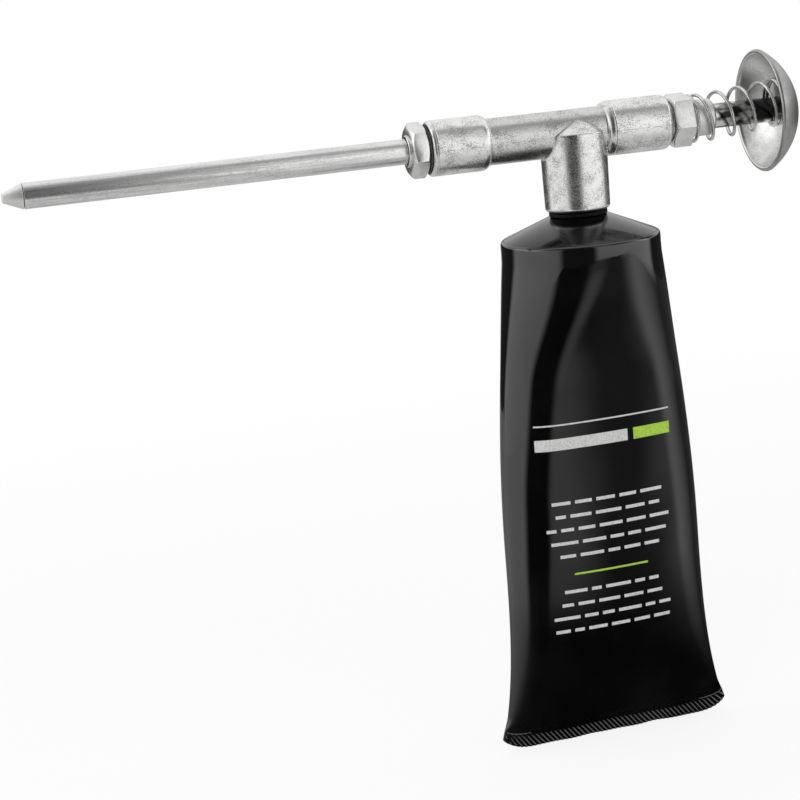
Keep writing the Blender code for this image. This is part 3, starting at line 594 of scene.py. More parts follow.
def drawn(name, points):
    """A line through the points, pulled out from one point and left in edit mode."""
    bpy.ops.mesh.primitive_plane_add(size=MM)
    piece = bpy.context.object
    piece.name = name
    bpy.ops.object.mode_set(mode="EDIT")
    bpy.ops.mesh.select_mode(type="VERT")
    bpy.ops.mesh.merge(type="CENTER")
    bpy.ops.transform.translate(value=points[0])
    for here, there in zip(points, points[1:]):
        bpy.ops.mesh.extrude_region_move(TRANSFORM_OT_translate={"value": there - here})
    return piece


def settled():
    """Merges doubles, turns the faces outwards and goes back to object mode."""
    bpy.ops.mesh.select_all(action="SELECT")
    bpy.ops.mesh.remove_doubles(threshold=MERGE)
    bpy.ops.mesh.normals_make_consistent(inside=False)
    bpy.ops.object.mode_set(mode="OBJECT")


def turned(name, outline, axis="X", steps=ROUND_STEPS, tilt=0.0):
    """A turned piece. The outline is (place along the axis, radius), and is closed here
    unless both of its ends lie on the axis."""
    if outline[0][1] > 0 or outline[-1][1] > 0:
        outline = outline + outline[:1]
    if axis == "X":
        along = Vector((1, 0, 0))
        across = Vector((0, -sin(tilt), -cos(tilt)))
    else:
        along = Vector((0, 0, 1))
        across = Vector((1, 0, 0))
    piece = drawn(name, [along * place + across * radius for place, radius in outline])
    bpy.ops.mesh.select_all(action="SELECT")
    bpy.ops.mesh.spin(steps=steps, angle=2 * pi, center=(0, 0, 0), axis=along)
    settled()
    return piece


def stepped(places, radii):
    """Outline of a stepped shaft: each radius runs from one place to the next."""
    outline = [(places[0], 0)]
    for radius, start, end in zip(radii, places, places[1:]):
        outline += [(start, radius), (end, radius)]
    return outline + [(places[-1], 0)]


def arc(centre, radius, start, end, steps=ARC_STEPS):
    """Points (place, radius) on an arc, with angles from the axis direction."""
    points = []
    for i in range(steps + 1):
        angle = start + (end - start) * i / steps
        points.append((centre[0] + radius[0] * cos(angle), centre[1] + radius[1] * sin(angle)))
    return points


def rounded(place, radius, edge, front):
    """A rounded corner at the front end of an outline, or at its rear end."""
    start = pi / 2 if front else 0
    centre = (place + edge if front else place - edge, radius - edge)
    return arc(centre, (edge, edge), start, start + pi / 2)


def pick(piece):
    """Makes a piece the only one selected, and the active one."""
    bpy.ops.object.select_all(action="DESELECT")
    bpy.context.view_layer.objects.active = piece
    piece.select_set(True)


def use(piece, kind, **settings):
    """Adds a modifier and applies it."""
    pick(piece)
    modifier = piece.modifiers.new(kind.lower(), kind)
    for name, value in settings.items():
        setattr(modifier, name, value)
    bpy.ops.object.modifier_apply(modifier=modifier.name)


def combine(piece, operation, tool):
    use(piece, "BOOLEAN", operation=operation, object=tool, solver="EXACT")
    bpy.data.objects.remove(tool)


def machine(piece, operation, outline, axis="X", steps=ROUND_STEPS):
    """Joins a turned shape to the piece, or cuts it out."""
    combine(piece, operation, turned("tool", outline, axis, steps))


def dress(piece, material, body, slot, *nodes, edge=0, angle=SHARP_ANGLE):
    """Breaks the sharp edges of a shaped piece where asked, shades it smooth up to the angle, and
    gives it its material, its body and the node that it stands for."""
    if edge:
        use(piece, "BEVEL", width=edge, segments=EDGE_STEPS, limit_method="ANGLE", angle_limit=SHARP_ANGLE)
    pick(piece)
    bpy.ops.object.shade_smooth_by_angle(angle=angle)
    piece.data.materials.clear()
    piece.data.materials.append(material)
    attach(piece, body)
    if nodes:
        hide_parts(*nodes)


def hexagon(name, low, high, tilt, inset, both_ends):
    """A hexagon with its corners turned away at the front, or at both ends."""
    corner = HEX_ACROSS_FLATS / sqrt(3)
    piece = turned(name, stepped((high, low), (corner,)), steps=HEX_SIDES, tilt=tilt)
    face = HEX_ACROSS_FLATS / 2 - inset
    wide = corner + OVERCUT
    run = (wide - face) * tan(HEX_CHAMFER_ANGLE)
    cone = [(high + OVERCUT, 0), (high + OVERCUT, wide), (low + run, wide), (low, face), (low, 0)]
    machine(piece, "INTERSECT", cone)
    if both_ends:
        cone = [(high, 0), (high, face), (high - run, wide), (low - OVERCUT, wide), (low - OVERCUT, 0)]
        machine(piece, "INTERSECT", cone)
    return piece


def threaded(low, high):
    """Outline points of a shank's thread from high to low, as a row of rings."""
    points = []
    for i in range(int((high - low) / SHANK_THREAD_PITCH)):
        for share, height in SHANK_PROFILE:
            radius = SHANK_RADIUS - SHANK_THREAD_DEPTH * (1 - height)
            points.append((low + (i + share) * SHANK_THREAD_PITCH, radius))
    return points[::-1]


def make_tee(material):
    low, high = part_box("tee_body")
    rear = high.x
    front = low.x
    step = (COLLAR_RUN_OUT, COLLAR_RADIUS - BARREL_RADIUS)
    rear_centre = (rear - REAR_COLLAR_LENGTH + COLLAR_RUN_OUT, BARREL_RADIUS)
    front_centre = (front + FRONT_COLLAR_LENGTH - COLLAR_RUN_OUT, BARREL_RADIUS)
    outline = [(rear, 0)] + rounded(rear, COLLAR_RADIUS, REAR_COLLAR_EDGE, False)
    outline += arc(rear_centre, step, pi / 2, pi) + arc(front_centre, step, 0, pi / 2)
    outline += rounded(front, COLLAR_RADIUS, FRONT_COLLAR_EDGE, True) + [(front, 0)]
    tee = turned("cast_tee", outline)

    mouth = low.z
    top = SOCKET_RADIUS - mouth * tan(SOCKET_DRAFT)
    slope = tan(ROOF_ANGLE)
    roof = top * slope / (1 + slope**2)
    outline = [(roof, 0), (roof, top - roof / slope), (0, top)]
    outline += rounded(mouth, SOCKET_RADIUS, SOCKET_EDGE, True) + [(mouth, 0)]
    machine(tee, "UNION", outline, "Z")
    use(tee, "REMESH", mode="VOXEL", voxel_size=CAST_VOXEL)
    use(tee, "SMOOTH", factor=CAST_SMOOTH_SHARE, iterations=CAST_SMOOTHING)

    front_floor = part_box("valve_seat")[1].x + SEAT_GAP
    rear_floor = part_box("packing_washer_front")[0].x - SEAT_GAP
    places = (rear + OVERCUT, rear_floor, front_floor, front - OVERCUT)
    machine(tee, "DIFFERENCE", stepped(places, (UNION_RADIUS, CYLINDER_RADIUS, UNION_RADIUS)))
    places = (0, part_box("tube_head")[1].z + NECK_END_GAP, mouth - OVERCUT)
    machine(tee, "DIFFERENCE", stepped(places, (INLET_RADIUS, NECK_SOCKET_RADIUS)), "Z")
    for place in (front + FRONT_COLLAR_EDGE + COLLAR_GROOVE_WIDTH, rear_centre[0]):
        outline = [(place + COLLAR_GROOVE_WIDTH, COLLAR_RADIUS + COLLAR_GROOVE_DEPTH)]
        outline += [(place - COLLAR_GROOVE_WIDTH, COLLAR_RADIUS + COLLAR_GROOVE_DEPTH)]
        outline += [(place, COLLAR_RADIUS - COLLAR_GROOVE_DEPTH)]
        machine(tee, "DIFFERENCE", outline)
    dress(tee, material, "gun_body", "cast_zinc", "tee_body")


def make_union_nut(material):
    low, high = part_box("nozzle_nut")
    hex_front = low.x + NUT_BOSS_LENGTH
    hex_rear = hex_front + NUT_HEX_LENGTH + WASHER_SQUEEZE
    middle = (hex_front + hex_rear) / 2
    nut = hexagon("union_nut", hex_front, hex_rear, NUT_TILT, NUT_CHAMFER_INSET, True)
    root = SHANK_RADIUS - SHANK_THREAD_DEPTH
    outline = [(high.x, 0), (high.x, root)] + threaded(hex_rear, high.x) + [(middle, root), (middle, 0)]
    machine(nut, "UNION", outline)
    outline = [(middle, 0), (middle, NUT_BOSS_RADIUS), (low.x + NUT_BOSS_CHAMFER, NUT_BOSS_RADIUS)]
    outline += [(low.x, NUT_BOSS_RADIUS - NUT_BOSS_CHAMFER), (low.x, 0)]
    machine(nut, "UNION", outline)
    seat = low.x + NUT_SEAT_DEPTH
    places = (high.x + OVERCUT, seat + NUT_WEB, seat, low.x - OVERCUT)
    outline = stepped(places, (BALL_CHAMBER_RADIUS, NOZZLE_BORE_RADIUS, NUT_SEAT_RADIUS))
    machine(nut, "DIFFERENCE", outline, steps=SMALL_STEPS)
    dress(nut, material, "gun_body", "plated_steel", "nozzle_nut", edge=NUT_EDGE)


def make_gland(material):
    low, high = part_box("gland_bush")
    hex_rear = high.x - SPIGOT_LENGTH
    hex_front = hex_rear - GLAND_HEX_LENGTH
    middle = (hex_front + hex_rear) / 2
    gland = hexagon("gland_nut", hex_front, hex_rear, GLAND_TILT, GLAND_CHAMFER_INSET, False)
    root = SHANK_RADIUS - SHANK_THREAD_DEPTH
    outline = [(middle, 0), (middle, root)] + threaded(low.x, hex_front) + [(low.x, 0)]
    machine(gland, "UNION", outline)
    outline = [(high.x, 0), (high.x, SPIGOT_RADIUS - SPIGOT_CHAMFER)]
    outline += [(high.x - SPIGOT_CHAMFER, SPIGOT_RADIUS), (middle, SPIGOT_RADIUS), (middle, 0)]
    machine(gland, "UNION", outline)
    outline = stepped((high.x + OVERCUT, low.x - OVERCUT), (ROD_BORE_RADIUS,))
    machine(gland, "DIFFERENCE", outline, steps=SMALL_STEPS)
    dress(gland, material, "gun_body", "plated_steel", "gland_bush", edge=GLAND_EDGE)


def make_ring(name, node, inner, edge, material, slot, body="gun_body", axis="X", pressed=0):
    """A plain tube, washer or seal in the place of a ring node, pressed shorter at its low end."""
    low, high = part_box(node)
    outer = high.y
    first = (low.x if axis == "X" else low.z) + pressed
    last = high.x if axis == "X" else high.z
    ring = turned(name, [(last, outer), (first, outer), (first, inner), (last, inner)], axis)
    dress(ring, material, body, slot, node, edge=edge)


def make_tip(material):
    low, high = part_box("nozzle_tip")
    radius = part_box("nozzle_tube")[1].y
    base = low.x + TIP_LENGTH
    spigot = NOZZLE_BORE_RADIUS - FIT_GAP
    outline = [(high.x, TIP_HOLE_RADIUS), (high.x, spigot), (base, spigot), (base, radius)]
    outline += [(low.x, TIP_FLAT_RADIUS), (low.x, TIP_HOLE_RADIUS)]
    tip = turned("nozzle_cone", outline, steps=SMALL_STEPS)
    dress(tip, material, "gun_body", "nozzle_steel", "nozzle_tip", edge=TIP_EDGE)


def make_valve(brass, steel):
    low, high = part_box("valve_seat")
    outline = [(high.x, high.y), (low.x, high.y), (low.x, VALVE_MOUTH_RADIUS)]
    outline += [(low.x + VALVE_CONE_DEPTH, VALVE_HOLE_RADIUS), (high.x, VALVE_HOLE_RADIUS)]
    seat = turned("valve_seat_ring", outline)
    dress(seat, brass, "gun_body", "brass", "valve_seat", edge=VALVE_EDGE)

    low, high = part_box("check_ball")
    centre = ((low.x + high.x) / 2, 0)
    radius = (high.x - low.x) / 2
    ball = turned("valve_ball_ground", arc(centre, (radius, radius), 0, pi, DOME_STEPS))
    dress(ball, steel, "valve_ball", "plated_steel", "check_ball")


def hollow_sphere():
    """Centre and radius of the sphere that the button's hollow follows."""
    depth = BUTTON_DEPTH + BUTTON_SHEET
    inner = (BUTTON_RADIUS**2 + depth**2) / (2 * depth) - BUTTON_SHEET
    hollow_apex = ROD_REACH + SEAT_GAP + inner - sqrt(inner**2 - ROD_RADIUS**2)
    return hollow_apex - inner, inner


def make_plunger(rod_finish, button_finish, rubber):
    low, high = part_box("plunger_rod")
    groove_low = low.x + HEAD_LAND
    groove_high = groove_low + GROOVE_LENGTH
    places = (high.x, ROD_REACH, groove_high + HEAD_LAND, groove_high, groove_low, low.x + HEAD_CHAMFER)
    outline = stepped(places, (TENON_RADIUS, ROD_RADIUS, HEAD_RADIUS, GROOVE_RADIUS, HEAD_RADIUS))[:-1]
    outline += [(low.x, HEAD_RADIUS - HEAD_CHAMFER), (low.x, 0)]
    rod = turned("plunger_shaft", outline)
    dress(rod, rod_finish, "plunger", "rod_steel", "plunger_rod", edge=ROD_EDGE)

    low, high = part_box("plunger_o_ring")
    wire = (high.x - low.x) / 2
    centre = ((low.x + high.x) / 2, high.y - wire)
    outline = arc(centre, (wire, wire), 0, 2 * pi, 2 * ARC_STEPS)[:-1]
    ring = turned("plunger_seal", outline, steps=SMALL_STEPS)
    dress(ring, rubber, "plunger", "seal_rubber", "plunger_o_ring")

    middle, inner = hollow_sphere()
    rim = middle + inner - BUTTON_DEPTH
    apex = middle + inner + BUTTON_CROWN
    crown = (BUTTON_RADIUS**2 + (apex - rim) ** 2) / (2 * (apex - rim))
    hole = TENON_RADIUS + FIT_GAP
    dome_edge = asin(BUTTON_RADIUS / crown)
    dome = arc((apex - crown, 0), (crown, crown), asin(hole / crown), dome_edge, DOME_STEPS)
    hollow_edge = acos((rim - middle) / inner)
    hollow = arc((middle, 0), (inner, inner), hollow_edge, asin(hole / inner), DOME_STEPS)
    lip = (BUTTON_RADIUS - hollow[0][1]) / 2
    centre = (rim, hollow[0][1] + lip)
    outline = dome + arc(centre, (lip, lip), pi / 2, 3 * pi / 2)[1:-1] + hollow
    button = turned("thumb_button", outline)
    dress(button, button_finish, "plunger", "button_nickel", "push_button")


def coil(name, points, wire):
    """A wire along the points, made a mesh with closed ends."""
    curve = bpy.data.curves.new(name, "CURVE")
    curve.dimensions = "3D"
    curve.bevel_depth = wire / 2
    curve.bevel_resolution = WIRE_STEPS
    curve.use_fill_caps = True
    spline = curve.splines.new("POLY")
    spline.points.add(len(points) - 1)
    for point, place in zip(spline.points, points):
        point.co = (*place, 1)
    piece = bpy.data.objects.new(name, curve)
    bpy.context.scene.collection.objects.link(piece)
    pick(piece)
    bpy.ops.object.convert(target="MESH")
    bpy.ops.object.mode_set(mode="EDIT")
    settled()
    return piece


def limited(value, most=1):
    """The value, kept between 0 and the most."""
    return min(max(value, 0), most)


def climb(value):
    """A smooth step from 0 to 1."""
    share = limited(value)
    return share * share * (3 - 2 * share)


def opened(done):
    """Fully open turns that the wire has passed, counting each ramp by its mean."""
    ramp = SPRING_RAMP_TURNS
    most = SPRING_TURNS - SPRING_FRONT_TURNS - SPRING_REAR_TURNS - 2 * ramp
    up = limited((done - SPRING_FRONT_TURNS) / ramp)
    down = limited((SPRING_TURNS - SPRING_REAR_TURNS - done) / ramp)
    middle = limited(done - SPRING_FRONT_TURNS - ramp, most)
    return middle + ramp * (up**2 + 1 - down**2) / 2


def make_springs(material):
    spigot_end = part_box("gland_bush")[1].x
    start = spigot_end - SPIGOT_LENGTH + SPRING_TURN_GAP + SPRING_WIRE / 2
    middle, inner = hollow_sphere()
    widest = SPRING_COIL / 2 + SPRING_RISE + SPRING_WIRE / 2
    end = middle + sqrt(inner**2 - widest**2) - SEAT_GAP - SPRING_WIRE / 2
    closed_pitch = SPRING_WIRE + SPRING_TURN_GAP
    extra_pitch = (end - start - closed_pitch * SPRING_TURNS) / opened(SPRING_TURNS)
    count = round(SPRING_TURNS * SMALL_STEPS)
    points = []
    for i in range(count + 1):
        done = SPRING_TURNS * i / count
        x = start + closed_pitch * done + extra_pitch * opened(done)
        rise = SPRING_RISE * max(x - spigot_end, 0) / (end - spigot_end)
        angle = 2 * pi * (done + SPRING_START)
        lean = climb(done - SPRING_LEAN_START) * climb(SPRING_TURNS - done - SPRING_LEAN_START)
        y, z = SPRING_COIL / 2 * cos(angle), SPRING_COIL / 2 * sin(angle)
        points.append((x - SPRING_LEAN * lean * sin(angle), y, z + rise))
    spring = coil("return_coil", points, SPRING_WIRE)
    dress(spring, material, "gun_body", "spring_steel", "return_spring")
    press(spring, "plunger_push", start - SPRING_WIRE / 2, end + SPRING_WIRE / 2)

    low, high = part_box("check_spring")
    count = round(CHECK_TURNS * SMALL_STEPS)
    first = low.x + CHECK_WIRE / 2
    last = high.x - CHECK_WIRE / 2
    points = []
    for i in range(count + 1):
        angle = 2 * pi * CHECK_TURNS * i / count
        y, z = CHECK_COIL / 2 * cos(angle), CHECK_COIL / 2 * sin(angle)
        points.append((first + (last - first) * i / count, y, z))
    spring = coil("valve_coil", points, CHECK_WIRE)
    dress(spring, material, "gun_body", "spring_steel", "check_spring")
    press(spring, "valve_lift", low.x, high.x)


def press(spring, joint, fixed, free):
    """Reads the whole travel of the joint that pushes the spring's free end, and gives the spring a mesh of
    its own; the spring keeps its length.
    """
    travel = next(j["range_m"][1] for j in frame["joints"] if j["name"] == joint)
    keep = 1 - travel / (free - fixed)
    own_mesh(spring)


def sleeve_section(depth, length):
    """Half width, half thickness and share closed of the tube, this far below its top."""
    body_end = length - CRIMP_HEIGHT
    below = max(depth - SLEEVE_ROUND_STRETCH, 0)
    closing = min(below / (body_end - SLEEVE_ROUND_STRETCH), 1)
    width = TUBE_RADIUS + SPREAD_REACH * sin(pi / 2 * min(below / SPREAD_STRETCH, 1))
    peak = body_end + EAR_PEAK * CRIMP_HEIGHT
    ear = limited((depth - peak + EAR_STRETCH) / EAR_STRETCH)
    tuck = max(depth - peak, 0) / (length - peak)
    flare = (pi / 2 - 1) * TUBE_RADIUS - SPREAD_REACH
    width += flare * ear**EAR_POWER - EAR_TUCK * tuck**2
    squeezed = SQUEEZE * climb(below / SQUEEZE_START) * (1 - climb((below - SQUEEZE_HOLD) / SQUEEZE_END))
    thickness = TUBE_RADIUS * (1 - closing) ** CLOSING_POWER * (1 - squeezed)
    thickness = max(thickness, CRIMP_THICKNESS / 2)
    return width, thickness, closing


def crimp_rib(x, z):
    """The slanted rib pattern of the crimp, from -1 to 1, with blunt crests."""
    wave = sin(2 * pi * (x + RIB_SLANT * z) / RIB_PITCH)
    return max(-1, min(1, RIB_BLUNTING * wave))


def sleeve_point(turn, depth, inset, flat, length):
    """A point of the tube's skin: turn is the share of the way round from the +X edge.
    The section is two round ends with straight sides between them."""
    width, thickness, closing = sleeve_section(depth, length)
    bow = PANEL_BOW * sin(pi * closing) ** PANEL_BOW_POWER
    straight = max(width - thickness, 0)
    thickness -= bow
    width = max(width - inset, MERGE)
    thickness = min(max(thickness - inset, MERGE), width)
    straight = min(straight, width - MERGE)
    end = width - straight
    bend = hypot(end, thickness) / sqrt(2) * pi / 2
    half = turn * 2 if turn <= 0.5 else 2 - turn * 2
    run = 2 * min(half, 1 - half) * (bend + straight)
    if run < bend:
        angle = run / bend * pi / 2
        x = straight + end * cos(angle)
        out = thickness * sin(angle)
    else:
        x = straight - (run - bend)
        out = thickness
    if half > 0.5:
        x = -x
    side = -1 if turn <= 0.5 else 1
    across = x / width
    z = -depth
    body_end = length - CRIMP_HEIGHT
    in_crimp = max(depth - body_end, 0) / CRIMP_HEIGHT
    out += bow * (1 - across**2)
    if inset == 0:
        level = out / thickness
        near = (depth - body_end + ROLL_LENGTH) / ROLL_LENGTH
        roll = (ROLL_LEAST + sin(pi * across) ** 2) * exp(-(near**2))
        out += ROLL_HEIGHT * roll * (1 - across**2)
        out += RIB_HEIGHT / 2 * crimp_rib(x, z) * min(1, RIB_RAMP * in_crimp) * min(1, level)
        sag = noise.noise(Vector((x / SAG_WIDTH, side, depth / SAG_LENGTH)))
        out += SAG_HEIGHT * sag * sin(pi * closing) ** 2 * min(1, level)
        near_end = limited((depth - body_end + EAR_LIFT) / EAR_LIFT)
        z += near_end * EAR_RISE * abs(across) ** EAR_RISE_POWER
        z += in_crimp * CRIMP_WAVE * noise.noise(Vector((x / CRIMP_WAVE_LENGTH, 0, CRIMP_WAVE_ROW)))
    return x, side * out * flat, z


def rolled(name, rows, around, top, length):
    """A tube skin: a grid rolled up, one row to each depth, and closed at both ends."""
    bpy.ops.mesh.primitive_grid_add(x_subdivisions=around, y_subdivisions=len(rows) - 1, size=1)
    skin = bpy.context.object
    skin.name = name
    turn_tube = Matrix.Rotation(TUBE_TURN, 3, "Z")
    for vertex in skin.data.vertices:
        turn = round((vertex.co.x + 0.5) * around) / around
        depth, inset, flat = rows[round((vertex.co.y + 0.5) * (len(rows) - 1))]
        x, y, z = sleeve_point(turn, depth, inset, flat, length)
        vertex.co = turn_tube @ Vector((x, y, top + z))
    bpy.ops.object.mode_set(mode="EDIT")
    settled()
    return skin


def crowded(end, count):
    """Depths from 0 to the end, closer together towards the end."""
    return [end * (1 - (1 - i / count) ** RING_CROWDING) for i in range(count + 1)]


def make_sleeve(material, grease_finish):
    """The sleeve, from the top of its cavity round to its crimp, and the grease in it."""
    low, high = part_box("tube_sleeve")
    length = high.z - low.z
    body_end = length - CRIMP_HEIGHT
    cavity = crowded(body_end - CAVITY_MARGIN, CAVITY_ROWS)[::-1]
    rows = [(cavity[0], SLEEVE_WALL, 0)]
    rows += [(depth, SLEEVE_WALL, 1) for depth in cavity[1:]]
    for along, inset in arc((0, 0), (TOP_EDGE, TOP_EDGE), SHOULDER_LEAN, pi / 2):
        rows.append((SEAM_GAP - SEAT_GAP + TOP_EDGE - along, TOP_EDGE - inset, 1))
    rows += [(depth, 0, 1) for depth in crowded(body_end, SLEEVE_ROWS)[1:]]
    rows += [(body_end + CRIMP_HEIGHT * i / CRIMP_ROWS, 0, 1) for i in range(1, CRIMP_ROWS + 1)]
    rows.append((length, 0, 0))
    sleeve = rolled("squeeze_sleeve", rows, SLEEVE_AROUND, high.z, length)
    dress(sleeve, material, "tube", "sleeve_plastic", "tube_sleeve", angle=SLEEVE_SHARP_ANGLE)

    filled = crowded(body_end - CAVITY_MARGIN - GREASE_MARGIN, CAVITY_ROWS)[1:]
    wall = SLEEVE_WALL + SKIRT_WALL + 2 * FIT_GAP
    rows = [(filled[0], TUBE_RADIUS, 0)] + [(depth, wall, 1) for depth in filled]
    rows.append((filled[-1], wall, 0))
    grease = rolled("grease_charge", rows, SMALL_STEPS, high.z, length)
    use(grease, "SUBSURF", levels=1, render_levels=1)
    dress(grease, grease_finish, "tube", "grease", "grease_fill", angle=pi)
    return sleeve


def make_head(material):
    low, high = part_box("tube_head")
    neck_top = high.z
    flat = neck_top - NECK_LENGTH
    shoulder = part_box("tube_sleeve")[1].z + SEAT_GAP
    edge = TUBE_RADIUS - TOP_EDGE * (1 - sin(SHOULDER_LEAN)) - SEAM_GAP
    rim = shoulder - TOP_EDGE * (1 - cos(SHOULDER_LEAN))
    skirt = TUBE_RADIUS - SLEEVE_WALL - FIT_GAP
    inside = skirt - SKIRT_WALL
    root = NECK_RADIUS - NECK_THREAD_DEPTH
    fall = (flat - rim) / (edge - HEAD_FLAT_RADIUS)

    def under(radius):
        return flat - fall * (radius - HEAD_FLAT_RADIUS) - HEAD_WALL * hypot(1, fall)

    outline = [(neck_top, NECK_BORE_RADIUS), (neck_top, root), (flat, root), (flat, HEAD_FLAT_RADIUS)]
    outline += [(rim, edge), (rim - SEAM_DROP, edge), (rim - SEAM_DROP, skirt)]
    outline += [(shoulder - SKIRT_DEPTH, skirt), (shoulder - SKIRT_DEPTH, inside)]
    outline += [(under(inside), inside), (under(NECK_BORE_RADIUS), NECK_BORE_RADIUS)]
    head = turned("tube_shoulder", outline, "Z")

    start = flat + NECK_THREAD_PITCH
    points = []
    for share, crest in NECK_PROFILE:
        radius = NECK_RADIUS if crest else root - FIT_GAP
        points.append(Vector((radius, 0, start + share * NECK_THREAD_PITCH)))
    thread = drawn("neck_thread", points + points[:1])
    bpy.ops.mesh.select_all(action="SELECT")
    bpy.ops.mesh.remove_doubles(threshold=MERGE)
    bpy.ops.object.mode_set(mode="OBJECT")
    use(thread, "SCREW", angle=2 * pi, steps=SMALL_STEPS, render_steps=SMALL_STEPS,
        screw_offset=NECK_THREAD_PITCH, iterations=NECK_THREAD_TURNS, merge_threshold=MERGE)
    bpy.ops.object.mode_set(mode="EDIT")
    bpy.ops.mesh.select_all(action="DESELECT")
    bpy.ops.mesh.select_non_manifold()
    bpy.ops.mesh.edge_face_add()
    settled()
    combine(head, "UNION", thread)
    dress(head, material, "tube", "head_plastic", "tube_head", edge=HEAD_EDGE)


def print_marks(name, marks, sleeve, material):
    """Ink on the front of the sleeve: flat patches laid on the curved skin, with a film's thickness."""
    patches = []
    for low_x, high_x, low_z, high_z in marks:
        steps = max(2, round((high_x - low_x) / PRINT_STEP))
        place = ((low_x + high_x) / 2, -2 * TUBE_RADIUS, (low_z + high_z) / 2)
        bpy.ops.mesh.primitive_grid_add(
            x_subdivisions=steps, y_subdivisions=2, size=1, location=place, rotation=(pi / 2, 0, 0)
        )
        patch = bpy.context.object
        patch.scale = (high_x - low_x, high_z - low_z, 1)
        bpy.ops.object.transform_apply(location=True, rotation=True, scale=True)
        patches.append(patch)
    for patch in patches:
        patch.select_set(True)
    bpy.context.view_layer.objects.active = patches[0]
    bpy.ops.object.join()
    ink = bpy.context.object
    ink.name = name
    use(ink, "SHRINKWRAP", wrap_method="PROJECT", use_project_y=True, use_positive_direction=True,
        target=sleeve)
    use(ink, "SOLIDIFY", thickness=PRINT_GAUGE, offset=1.0)
    dress(ink, material, "tube", "sleeve_plastic")


def mark(left, right, middle, height):
    return left, right, middle - height / 2, middle + height / 2


def make_print(sleeve, white, lime):
    """A plain panel: a rule, a two-colour bar, and rows of dashes in two blocks with a rule between."""
    (rule_z, rule), (bar_z, bar) = BAR_ROWS
    left = PRINT_MIDDLE - PRINT_REACH
    right = PRINT_MIDDLE + PRINT_REACH
    split = PRINT_MIDDLE + PRINT_SPLIT
    pale = [mark(left, right, rule_z, rule), mark(left, split - BAR_GAP, bar_z, bar)]
    green = [mark(split + BAR_GAP, right, bar_z, bar)]
    draw = random.Random(PRINT_SEED)
    for top, rows in TEXT_BLOCKS:
        for row in range(rows):
            z = top * MM - row * TEXT_PITCH
            words = []
            while sum(words) + WORD_GAP * len(words) < draw.uniform(*TEXT_REACH):
                words.append(draw.uniform(*WORD_LENGTHS))
            x = PRINT_MIDDLE - (sum(words) + WORD_GAP * (len(words) - 1)) / 2 * MM
            for word in words:
                pale.append(mark(x, x + word * MM, z, TEXT_HEIGHT))
                x += (word + WORD_GAP) * MM
    between = TEXT_BLOCKS[1][0] * MM + RULE_RISE * TEXT_PITCH
    green.append(mark(left + RULE_INSET, right - RULE_INSET, between, RULE_HEIGHT))
    print_marks("ink_white", pale, sleeve, white)
    print_marks("ink_lime", green, sleeve, lime)


def stage_card(name, low, high, height):
    """A level card, with its place in its mesh."""
    middle = (low + high) / 2
    bpy.ops.mesh.primitive_plane_add(size=1.0, location=(middle.x, middle.y, height))
    card = bpy.context.object
    card.name = name
    card.scale = (high.x - low.x, high.y - low.y, 1)
    bpy.ops.object.transform_apply(location=True, rotation=True, scale=True)
    material = bpy.data.materials.new(name)
    material.use_nodes = True
    tree = material.node_tree
    tree.nodes.clear()
    card.data.materials.append(material)
    place = Signal(tree, tree.nodes.new("ShaderNodeTexCoord").outputs["Object"])
    output = tree.nodes.new("ShaderNodeOutputMaterial")
    return tree, place, output


def make_floor():
    """White to the camera, with the object's shadow, and fading into the white around it.
    Dull metal sees it as a plain grey, and the mirror-smooth tube sees a bank on each side."""
    tree, place, output = stage_card("floor", FLOOR_LOW, FLOOR_HIGH, cad_low.z - FLOOR_DROP)
    kinds = ("Is Camera Ray", "Is Glossy Ray", "Is Transmission Ray", "Is Singular Ray")
    camera, glossy, through, sharp = rays_of(tree, *kinds)
    x, y = parts_of(place, "xy")
    reach = distance(x, y) - TUBE_RADIUS
    azimuth = azimuth_of(x, y)
    half = FLOOR_FADE / 2
    inside = window(x, FLOOR_LOW.x + half, FLOOR_HIGH.x - half, half)
    inside = inside * window(y, FLOOR_LOW.y + half, FLOOR_HIGH.y - half, half)

    # For dull metal: lighter in front, with a dark gap under the camera
    dull = 0.55 + 0.25 * ease(-y, 100 * MM, 300 * MM)
    gap = window(azimuth, -26, 14, BANK_EDGE) * ease(-y, 200 * MM, 380 * MM)
    dull = dull * (1 - 0.9 * gap)

    # For the tube: the left bank has a soft edge near the tube and a crisp one farther out
    away = ease(reach, 40 * MM, 180 * MM)
    crisp = 1 - ease(azimuth, -47, -33)
    soft = 0.35 * (1 - ease(azimuth, -80, -15)) * ease(reach, 0, 60 * MM)
    left = 0.78 * (soft + away * (crisp - soft))
    left = left * (1 - 0.55 * ease(-azimuth, 100, 140))

    # The right bank is a narrow strip by the camera, a broad one at the side and the floor's rim
    near = 0.3 * window(azimuth, 9, 30, 9) * ease(reach, 30 * MM, 120 * MM)
    near = near * (1 - 0.6 * ease(reach, 200 * MM, 380 * MM))
    far = 0.7 * window(azimuth, 62, 100, 15) * ease(reach, 20 * MM, 150 * MM)
    far = far * (1 - 0.4 * ease(azimuth, 70, 95))
    rim = ease(x, 380 * MM, 580 * MM).most(ease(-y, 320 * MM, 500 * MM))
    rim = 0.78 * rim * window(azimuth, 55, 110, 10)
    dim = 0.07 * ease(azimuth, 3, 13) * ease(reach, 30 * MM, 150 * MM)
    banks = rim.most(0.008 + dim + left + near + far)

    mirrored = dull + sharp * (banks - dull)
    strength = camera + mirrored * (1 - camera)
    paint = place.node("ShaderNodeBsdfDiffuse", None, {"Color": FLOOR_PAINT})
    white = place.node("ShaderNodeEmission", None, {"Color": (1, 1, 1, 1), "Strength": strength})
    share = (camera * (1 - SHADOW_SHARE * inside)).most(glossy.most(through))
    mixed = place.node("ShaderNodeMixShader", None, {0: share, 1: paint, 2: white})
    tree.links.new(mixed.socket, output.inputs["Surface"])


